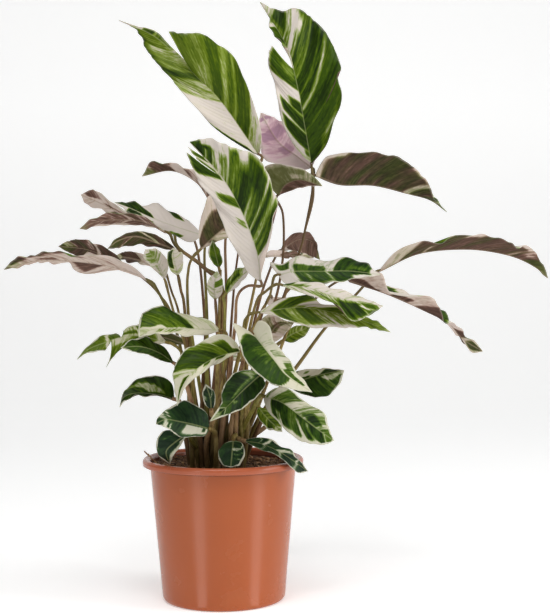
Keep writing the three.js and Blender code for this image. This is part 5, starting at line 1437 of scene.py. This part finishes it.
def blade(number, leaf):
    """A leaf's whole blade as a mesh, upper side first and underside second."""
    rib = rib_of(leaf)
    rows = int(min(max(rib.length / ROW_LENGTH, FEWEST_ROWS), MOST_ROWS))
    shares = np.linspace(0, 1, rows + 1)
    points, place, paint = [], [], []
    upper, walls = [], []

    def note(*values):
        """Keeps one corner's point, place and paint, and gives the corner's number."""
        for kept, value in zip((points, place, paint), values):
            kept.append(value)
        return len(points) - 1

    spine = None
    for side, side_name in (("L", "left"), ("R", "right")):
        for lobe in lobes_of(leaf, leaf[side_name]):
            first, last = (round(rows * lobe[n] ** (1 / CROWDING)) for n in (0, 1))
            half = blade_half(leaf, number, side, lobe, shares[first:last + 1])
            if spine is None:
                whole = blade_half(leaf, number, side, (0, 1, lobe[2]), shares)
                spine = [note(*(a[i, 0] for a in whole)) for i in range(rows + 1)]
            grid = []
            for i in range(first, last + 1):
                row = [spine[i]] * len(ACROSS)
                if 0 < i < rows:
                    row[1:] = [note(*(a[i - first, k] for a in half)) for k in range(1, len(ACROSS))]
                grid.append(row)
            for below, above in zip(grid, grid[1:]):
                for k in range(len(ACROSS) - 1):
                    corners = list(dict.fromkeys((below[k], below[k + 1], above[k + 1], above[k])))
                    if len(corners) > 2:
                        upper.append(corners if side == "R" else corners[::-1])
            ring = grid[0] + [row[-1] for row in grid[1:]] + grid[-1][::-1][1:]
            ring = [a for a, b in zip(ring, ring[1:] + [None]) if a != b]
            pairs = list(zip(ring, ring[1:]))
            walls += pairs if side == "R" else [pair[::-1] for pair in pairs]

    points = np.array(points)
    normals = np.zeros_like(points)
    for face in upper:
        corner = points[face]
        turn = np.cross(corner[1] - corner[0], corner[2] - corner[0])
        if len(face) == 4:
            turn += np.cross(corner[2] - corner[0], corner[3] - corner[0])
        normals[face] += turn
    normals = unit(normals)
    place, paint = np.array(place), np.array(paint)
    share = place[:, 0] / (rib.length * MM)
    ridge = np.exp(-(place[:, 1] / (RIB_WIDTH * MM)) ** 2) * (1 - share) ** 0.7
    thick = BLADE_THICKNESS + RIB_HEIGHT * ridge
    lower = points - normals * thick[:, None]
    count = len(points)
    faces = upper + [[count + i for i in face[::-1]] for face in upper]
    faces += [[b, a, count + a, count + b] for a, b in walls]
    mesh = mesh_of(f"blade_{number:02d}", np.vstack([points, lower]) * MM, faces)
    mesh.polygons.foreach_set("use_smooth", [True] * (2 * len(upper)) + [False] * len(walls))
    sides = [0] * len(upper) + [1] * len(upper) + [0] * len(walls)
    mesh.polygons.foreach_set("material_index", sides)
    greens = GREENISH.get(number, USUAL_GREEN)
    left_green, right_green = greens if isinstance(greens, tuple) else (greens, greens)
    greenish = np.where(place[:, 1] < 0, left_green, right_green)
    greenish = greenish + TIP_GREEN * ((share - TIP_START) / TIP_SPAN).clip(0, 1)
    youth = np.full(count, YOUNG.get(number, USUAL_YOUTH if number < OLD_LEAVES else 0))
    margined = np.full(count, float(number >= LOW_LEAVES))
    own = np.stack([youth, greenish, margined], -1)
    for name, values in (("place", place), ("paint", paint), ("leaf", own)):
        write_values(mesh, name, np.vstack([values, values]))
    return mesh


blades = []
for number, leaf in enumerate(LEAVES, 1):
    made = link(f"blade_{number:02d}", blade(number, leaf))
    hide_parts(f"leaf_{number:02d}")
    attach(made, "root")
    blades.append(made)
print("blades:", len(blades), "faces:", sum(len(b.data.polygons) for b in blades))

# %% [markdown]
# ## Leaf finishes
# The two sides of a leaf differ: satin and green on cream above, dull and purple-brown
# on pinkish cream below. Both read the same painted tone. Noise stretched along the side
# veins is added to the tone before a colour ramp turns it into colour, which gives every
# band the brushed, feathery edge of real variegation. The midrib and the thin cream
# margin are measured out from stored distances. Young leaves are a yellower green, old
# ones a bluer, and the cream of the lower leaves is ivory. Below, the purple turns green
# towards the tip and in small flecks, and a young leaf is tinged with lilac.

# %% Tones and veins
GRAINS = ((75, 16), (330, 34), (1100, 60), (420, 170))      # broad, fine, hair and fleck


def leaf_parts(finish):
    """Wires that both leaf finishes share.

    They are the tone, the broad and the fine noise, the veins, the masks of rib and rim,
    and the leaf's own numbers: its youth, its greenness below and if its rim is cream.
    """
    youth, greenish, margined = finish.parts(finish.stored("leaf"))
    tone, streaks, from_rim = finish.parts(finish.stored("paint"))
    place = finish.stored("place")
    from_rib = finish.node("ShaderNodeMath", {"operation": "ABSOLUTE"}, {0: finish.parts(place)[1]})
    broad, fine, hair, fleck = (
        finish.noise(finish.stretch(place, (along, across, 1)), 1.0, 3) for along, across in GRAINS
    )
    tone = tone + (broad - 0.5) * streaks * 1.5 + (fine - 0.5) * (streaks * 1.1 + 0.16)
    tone = tone + (hair - 0.5) * 0.16 + (fleck - 0.5) * (streaks * 0.5 + 0.2)
    veins = fine * 0.6 + hair * 0.4
    rib = finish.between(from_rib, 1.3 * MM, 0.5 * MM)
    worn = finish.between(broad + (fine - 0.5) * 0.5, 0.36, 0.52)
    rim = finish.between(from_rim - (broad - 0.5) * 5 * MM, 1.4 * MM, 0.7 * MM)
    rim = rim * (0.2 + margined * 0.2 + worn * margined * 0.55)
    return tone, (broad, fine, veins), (rib, rim), (youth, greenish, margined)


UPPER_TONES = (0.0, 0.15, 0.2, 0.34, 0.39, 0.5, 0.56, 0.68, 0.74, 0.86, 0.92, 1.0)
UPPER_DEEP = [
    (0.64, 0.575, 0.525), (0.62, 0.56, 0.48), (0.39, 0.41, 0.25), (0.26, 0.30, 0.13),
    (0.145, 0.21, 0.035), (0.110, 0.172, 0.015), (0.070, 0.125, 0.003), (0.052, 0.100, 0.002),
    (0.028, 0.064, 0.001), (0.020, 0.049, 0.001), (0.012, 0.028, 0.0005), (0.007, 0.018, 0.0005),
]
UPPER_YOUNG = [
    (0.58, 0.52, 0.475), (0.57, 0.51, 0.43), (0.43, 0.45, 0.24), (0.32, 0.36, 0.12),
    (0.21, 0.27, 0.045), (0.165, 0.220, 0.022), (0.115, 0.165, 0.008), (0.085, 0.128, 0.004),
    (0.048, 0.085, 0.002), (0.036, 0.066, 0.002), (0.020, 0.042, 0.001), (0.014, 0.032, 0.001),
]
UPPER_OLD = [
    (0.60, 0.56, 0.52), (0.57, 0.54, 0.48), (0.36, 0.39, 0.29), (0.22, 0.26, 0.17),
    (0.13, 0.18, 0.09), (0.085, 0.135, 0.050), (0.050, 0.098, 0.026), (0.034, 0.075, 0.020),
    (0.023, 0.056, 0.015), (0.018, 0.045, 0.014), (0.014, 0.034, 0.013), (0.008, 0.022, 0.009),
]
upper_side = Finish("upper side of the leaf")
tone, (_, fine, veins), (rib, rim), (youth, _, margined) = leaf_parts(upper_side)
deep, young, old = (
    upper_side.ramp(tone, list(zip(UPPER_TONES, colours)))
    for colours in (UPPER_DEEP, UPPER_YOUNG, UPPER_OLD)
)
green = upper_side.blend(youth, deep, young)
green = upper_side.blend(youth * -1, green, old)
ivory = upper_side.between(tone, 0.42, 0.15) * margined * 0.5
green = upper_side.blend(ivory, green, (0.57, 0.57, 0.37, 1))
ribbed = upper_side.blend(rib * 0.38, green, (0.34, 0.38, 0.16, 1))
rimmed = upper_side.blend(rim, ribbed, (0.59, 0.58, 0.45, 1))
upper_side.feed(
    Base_Color=rimmed,
    Roughness=0.38 + fine * 0.12,
    Specular_IOR_Level=0.1,
    Normal=upper_side.bump(veins - rib * 0.8, 0.0005, 0.6),
)

UNDER_TONES = (0.0, 0.15, 0.21, 0.34, 0.42, 0.58, 0.66, 0.84, 1.0)
UNDER_PURPLE = [
    (0.61, 0.51, 0.46), (0.61, 0.51, 0.435), (0.50, 0.385, 0.315), (0.37, 0.255, 0.208),
    (0.195, 0.112, 0.082), (0.148, 0.082, 0.058), (0.108, 0.059, 0.041), (0.070, 0.038, 0.026),
    (0.038, 0.020, 0.014),
]
UNDER_GREEN = [
    (0.56, 0.50, 0.40), (0.53, 0.46, 0.33), (0.34, 0.33, 0.19), (0.27, 0.27, 0.13),
    (0.165, 0.172, 0.062), (0.115, 0.128, 0.034), (0.074, 0.085, 0.018), (0.048, 0.056, 0.011),
    (0.024, 0.030, 0.005),
]
underside = Finish("underside of the leaf")
tone, (broad, fine, veins), (rib, rim), (youth, greenish, _) = leaf_parts(underside)
purple, green = (
    underside.ramp(tone, list(zip(UNDER_TONES, colours))) for colours in (UNDER_PURPLE, UNDER_GREEN)
)
turned_green = underside.between(broad + greenish * 0.6, 0.6, 0.9)
shade = underside.blend(turned_green, purple, green)
flecks = underside.between(veins + (broad - 0.5) * 0.9, 0.6, 0.72) * underside.between(tone, 0.42, 0.6)
shade = underside.blend(flecks * 0.35, shade, (0.125, 0.130, 0.038, 1))
lilac = underside.between(youth, 0.2, 1) * (0.15 + underside.between(tone, 0.02, 0.14) * 0.35)
shade = underside.blend(lilac, shade, (0.64, 0.38, 0.52, 1))
ribbed = underside.blend(rib * 0.45, shade, (0.34, 0.25, 0.17, 1))
rimmed = underside.blend(rim, ribbed, (0.58, 0.49, 0.43, 1))
underside.feed(
    Base_Color=rimmed,
    Roughness=0.5 + fine * 0.15,
    Specular_IOR_Level=0.1,
    Normal=underside.bump(veins, 0.0006, 0.7),
)
for made in blades:
    made.data.materials.append(upper_side.material)
    made.data.materials.append(underside.material)
print("leaf finishes:", upper_side.material.name, "and", underside.material.name)

# %% [markdown]
# ## Stalks and sheaths
# Every blade stands on its own stalk. All the stalks of one crown rise from a tight
# bundle, part at their first bend, and end in a swollen joint, with which a prayer plant
# raises its leaves at night. Papery brown sheaths wrap the bundle low down. Curves with
# a bevel would give tubes too, but tubes made point by point can swell and taper freely.

# %% Stalks
STALK_FOOT, STALK_LOW, STALK_HIGH, JOINT = 3.1, 1.6, 1.2, 1.6     # radii
STALK_SIDES, RING_STEP = 10, 3.5
FOOT_LENGTH, JOINT_LENGTH = 130, 13
BUNDLE = 8.6
BUNDLE_FOOT, BUNDLE_NECK = 124, 142
PARTING, BUNDLE_SPREAD, BUNDLE_LEAN, DRIFT = 43.4, 1.1, 0.75, 2
JOIN_BELOW, JOIN_INTO = 5, 2.5            # where a stalk ends, before and past the blade's base


def spots(count):
    """Places in a bundle, evenly spread over a round, as the seeds of a sunflower are."""
    golden = math.pi * (3 - math.sqrt(5))
    return [on_circle(BUNDLE * math.sqrt((i + 0.5) / count), i * golden) for i in range(count)]


def bundle_of(name):
    """(leaf, place in the bundle) of a crown, each stalk on the side that it leans to."""
    def bearing(spot):
        return math.atan2(spot[1], spot[0])

    members = [leaf for leaf in LEAVES if leaf["crown"] == name]
    members.sort(key=lambda leaf: bearing(seen(leaf["via"][-1])[:2] - CROWNS[name]))
    return list(zip(members, sorted(spots(len(members)), key=bearing)))


def stalk_line(leaf, spot):
    """From below the soil, up in the bundle, over the bends and into the blade's rib."""
    x, y = CROWNS[leaf["crown"]]
    rib = rib_of(leaf)
    base, along = rib.at(0), rib.along(0)
    bends = [seen(p) for p in reversed(leaf["via"])]
    high = min(SOIL_TOP + PARTING, (SOIL_TOP + 6 + bends[0][2]) / 2)
    foot = [(x + spot[0], y + spot[1], z) for z in (BUNDLE_FOOT, BUNDLE_NECK)]
    lean = BUNDLE_LEAN * (high - BUNDLE_NECK) / (bends[0][2] - BUNDLE_NECK)
    rise = [
        middle + off * BUNDLE_SPREAD + lean * (bend - middle) + random.uniform(-DRIFT, DRIFT)
        for middle, off, bend in zip((x, y), spot, bends[0])
    ]
    return Line([*foot, (*rise, high), *bends, base - JOIN_BELOW * along, base + JOIN_INTO * along])


clumps = {}
for name in CROWNS:
    stems = Solids()
    random.seed(name)
    for leaf, spot in bundle_of(name):
        line = stalk_line(leaf, spot)
        rings = int(line.length / RING_STEP)
        share = np.linspace(0, 1, rings)
        from_foot, from_top = share * line.length, (1 - share) * line.length
        thick = random.uniform(0.88, 1.12)
        radius = STALK_HIGH + (STALK_LOW - STALK_HIGH) * (1 - share)
        radius += (STALK_FOOT - STALK_LOW) * np.exp(-(from_foot / FOOT_LENGTH) ** 2)
        swelling = np.exp(-((from_top - JOINT_LENGTH * 0.75) / (JOINT_LENGTH * 0.42)) ** 2)
        radius = radius * thick + (JOINT - STALK_HIGH) * swelling
        points, faces = tube(line.at(share), radius, STALK_SIDES)
        hue = random.random()
        values = [(hue, float(swell), 0) for swell in swelling for _ in range(STALK_SIDES)]
        stems.add(points, faces, values)
    clumps[name] = stems
print("stalks:", len(LEAVES), "points:", sum(len(s.points) for s in clumps.values()))

# %% Sheaths
SHEATHS, SHEATH_THICKNESS = 3, 0.4
SHEATH_RADIUS, SHEATH_ASIDE = 3.9, 5.2
SHEATH_FOOT, SHEATH_SUNK = 126, 10
SHEATH_ROWS = 11
TURN = np.linspace(-1, 1, 17)


def sheath(x, y, height, facing, reach):
    """Points and faces of a split, pointed sheath, open at one side."""
    outer = []
    for i in range(SHEATH_ROWS):
        t = i / (SHEATH_ROWS - 1)
        for w in TURN:
            top = height * (0.45 + 0.55 * math.cos(w * 1.35)) + 2.0 * math.sin(w * 9 + facing)
            z = SHEATH_FOOT + (SHEATH_SUNK + top) * t
            flare = SHEATH_RADIUS * (1 - 0.16 * t + 0.1 * t ** 4) + 0.35 * math.sin(w * 11 + 3 * t)
            angle = facing + w * reach * (1 - 0.35 * t)
            outer.append((x + flare * math.cos(angle), y + flare * math.sin(angle), z))
    outer = np.array(outer)
    inward = unit((np.array([x, y, 0]) - outer) * (1, 1, 0))
    points = list(outer) + list(outer + inward * SHEATH_THICKNESS)
    grid = np.arange(len(outer)).reshape(SHEATH_ROWS, len(TURN)).tolist()
    count = len(outer)
    faces = []
    for low, high in zip(grid, grid[1:]):
        for k in range(len(TURN) - 1):
            face = (low[k], low[k + 1], high[k + 1], high[k])
            faces.append(face)
            faces.append(tuple(count + i for i in face[::-1]))
    edge = grid[0] + [row[-1] for row in grid[1:]] + grid[-1][-2::-1] + [row[0] for row in grid[-2::-1]]
    for a, b in zip(edge, edge[1:]):
        faces.append((b, a, count + a, count + b))
    return points, faces


clump_objects = []
for name, (x, y) in CROWNS.items():
    stems = clumps[name]
    random.seed("sheath " + name)
    for n in range(SHEATHS):
        height = random.uniform(8, 30)
        facing = n * 2.4 + random.uniform(-0.5, 0.5)
        middle = x + SHEATH_ASIDE * math.cos(facing), y + SHEATH_ASIDE * math.sin(facing)
        points, faces = sheath(*middle, height, facing, random.uniform(1.3, 2.1))
        stems.add(points, faces, (random.random(), 2, 0))
    made = link(f"clump_{name}", stems.mesh(f"clump_{name}", "stem"))
    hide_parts(f"crown_{name}")
    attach(made, "root")
    clump_objects.append(made)
print("clumps:", [made.name for made in clump_objects])

# %% [markdown]
# Stalks are olive, tan or purple-brown, each with its own random hue and with streaks
# that run lengthwise. Low down, among the others, painted shade darkens them, and high up
# and far out they go brown. The joint is paler. Stored on each point are the hue of its
# stalk and what it is part of: 0 for a stalk, 1 for a joint and 2 for a sheath, which
# picks the papery brown.

# %% Stalk finish
skin = Finish("stalk skin")
place = skin.place()
height = skin.parts(place)[2]
hue, part, _ = skin.parts(skin.stored("stem"))
grain = skin.noise(skin.stretch(place, (1, 1, 0.09)), 900, 4)
blotch = skin.noise(place, 60, 4)
warmth = hue * 0.9 + 0.05 + (blotch - 0.5) * 0.35 + (grain - 0.5) * 0.35
stalk_colour = skin.ramp(warmth, [
    (0.0, (0.360, 0.330, 0.080)),
    (0.18, (0.130, 0.112, 0.020)),
    (0.36, (0.400, 0.300, 0.100)),
    (0.52, (0.110, 0.064, 0.018)),
    (0.7, (0.390, 0.235, 0.120)),
    (0.85, (0.140, 0.066, 0.036)),
    (1.0, (0.350, 0.225, 0.090)),
])
# painted shade low in the bundle, where the stalks shade one another
bundle_shade = skin.between(height, 0.215, 0.146) * 0.78
stalk_colour = skin.blend(bundle_shade, stalk_colour, (0.040, 0.026, 0.006, 1))
high_up = skin.between(height, 0.27, 0.37) * 0.5
stalk_colour = skin.blend(high_up, stalk_colour, (0.105, 0.062, 0.040, 1))
far_out = skin.between(skin.from_axis(place), 0.05, 0.09) * 0.6
stalk_colour = skin.blend(far_out, stalk_colour, (0.080, 0.056, 0.022, 1))
jointed = skin.blend(skin.between(part, 0.2, 1.0) * 0.3, stalk_colour, (0.20, 0.17, 0.055, 1))
paper = skin.ramp(grain + (blotch - 0.5) * 0.6 + hue * 0.3, [
    (0.2, (0.050, 0.026, 0.010)), (0.55, (0.130, 0.075, 0.030)), (0.9, (0.270, 0.175, 0.080)),
])
papery = skin.between(part, 1.2, 1.8)
skin.feed(
    Base_Color=skin.blend(papery, jointed, paper),
    Roughness=0.4 + papery * 0.3 + grain * 0.1,
    Specular_IOR_Level=0.15,
    Normal=skin.bump(grain, 0.0004, 0.6),
)
for made in clump_objects:
    made.data.materials.append(skin.material)
print("stalk finish:", skin.material.name)

# %% [markdown]
# ## Size
# The sizes of the measured solids and of the dressed plant are both printed, so that
# they can be compared. The dressed plant must stay as large as the measured solids are.

# %% Print the sizes
shown_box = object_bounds()
boxes = {name: [list(corner) for corner in box] for name, box in (("solids", solid_box), ("shown", shown_box))}
for name, (low, high) in boxes.items():
    print(name, "size in mm:", [round((b - a) / MM, 1) for a, b in zip(low, high)])
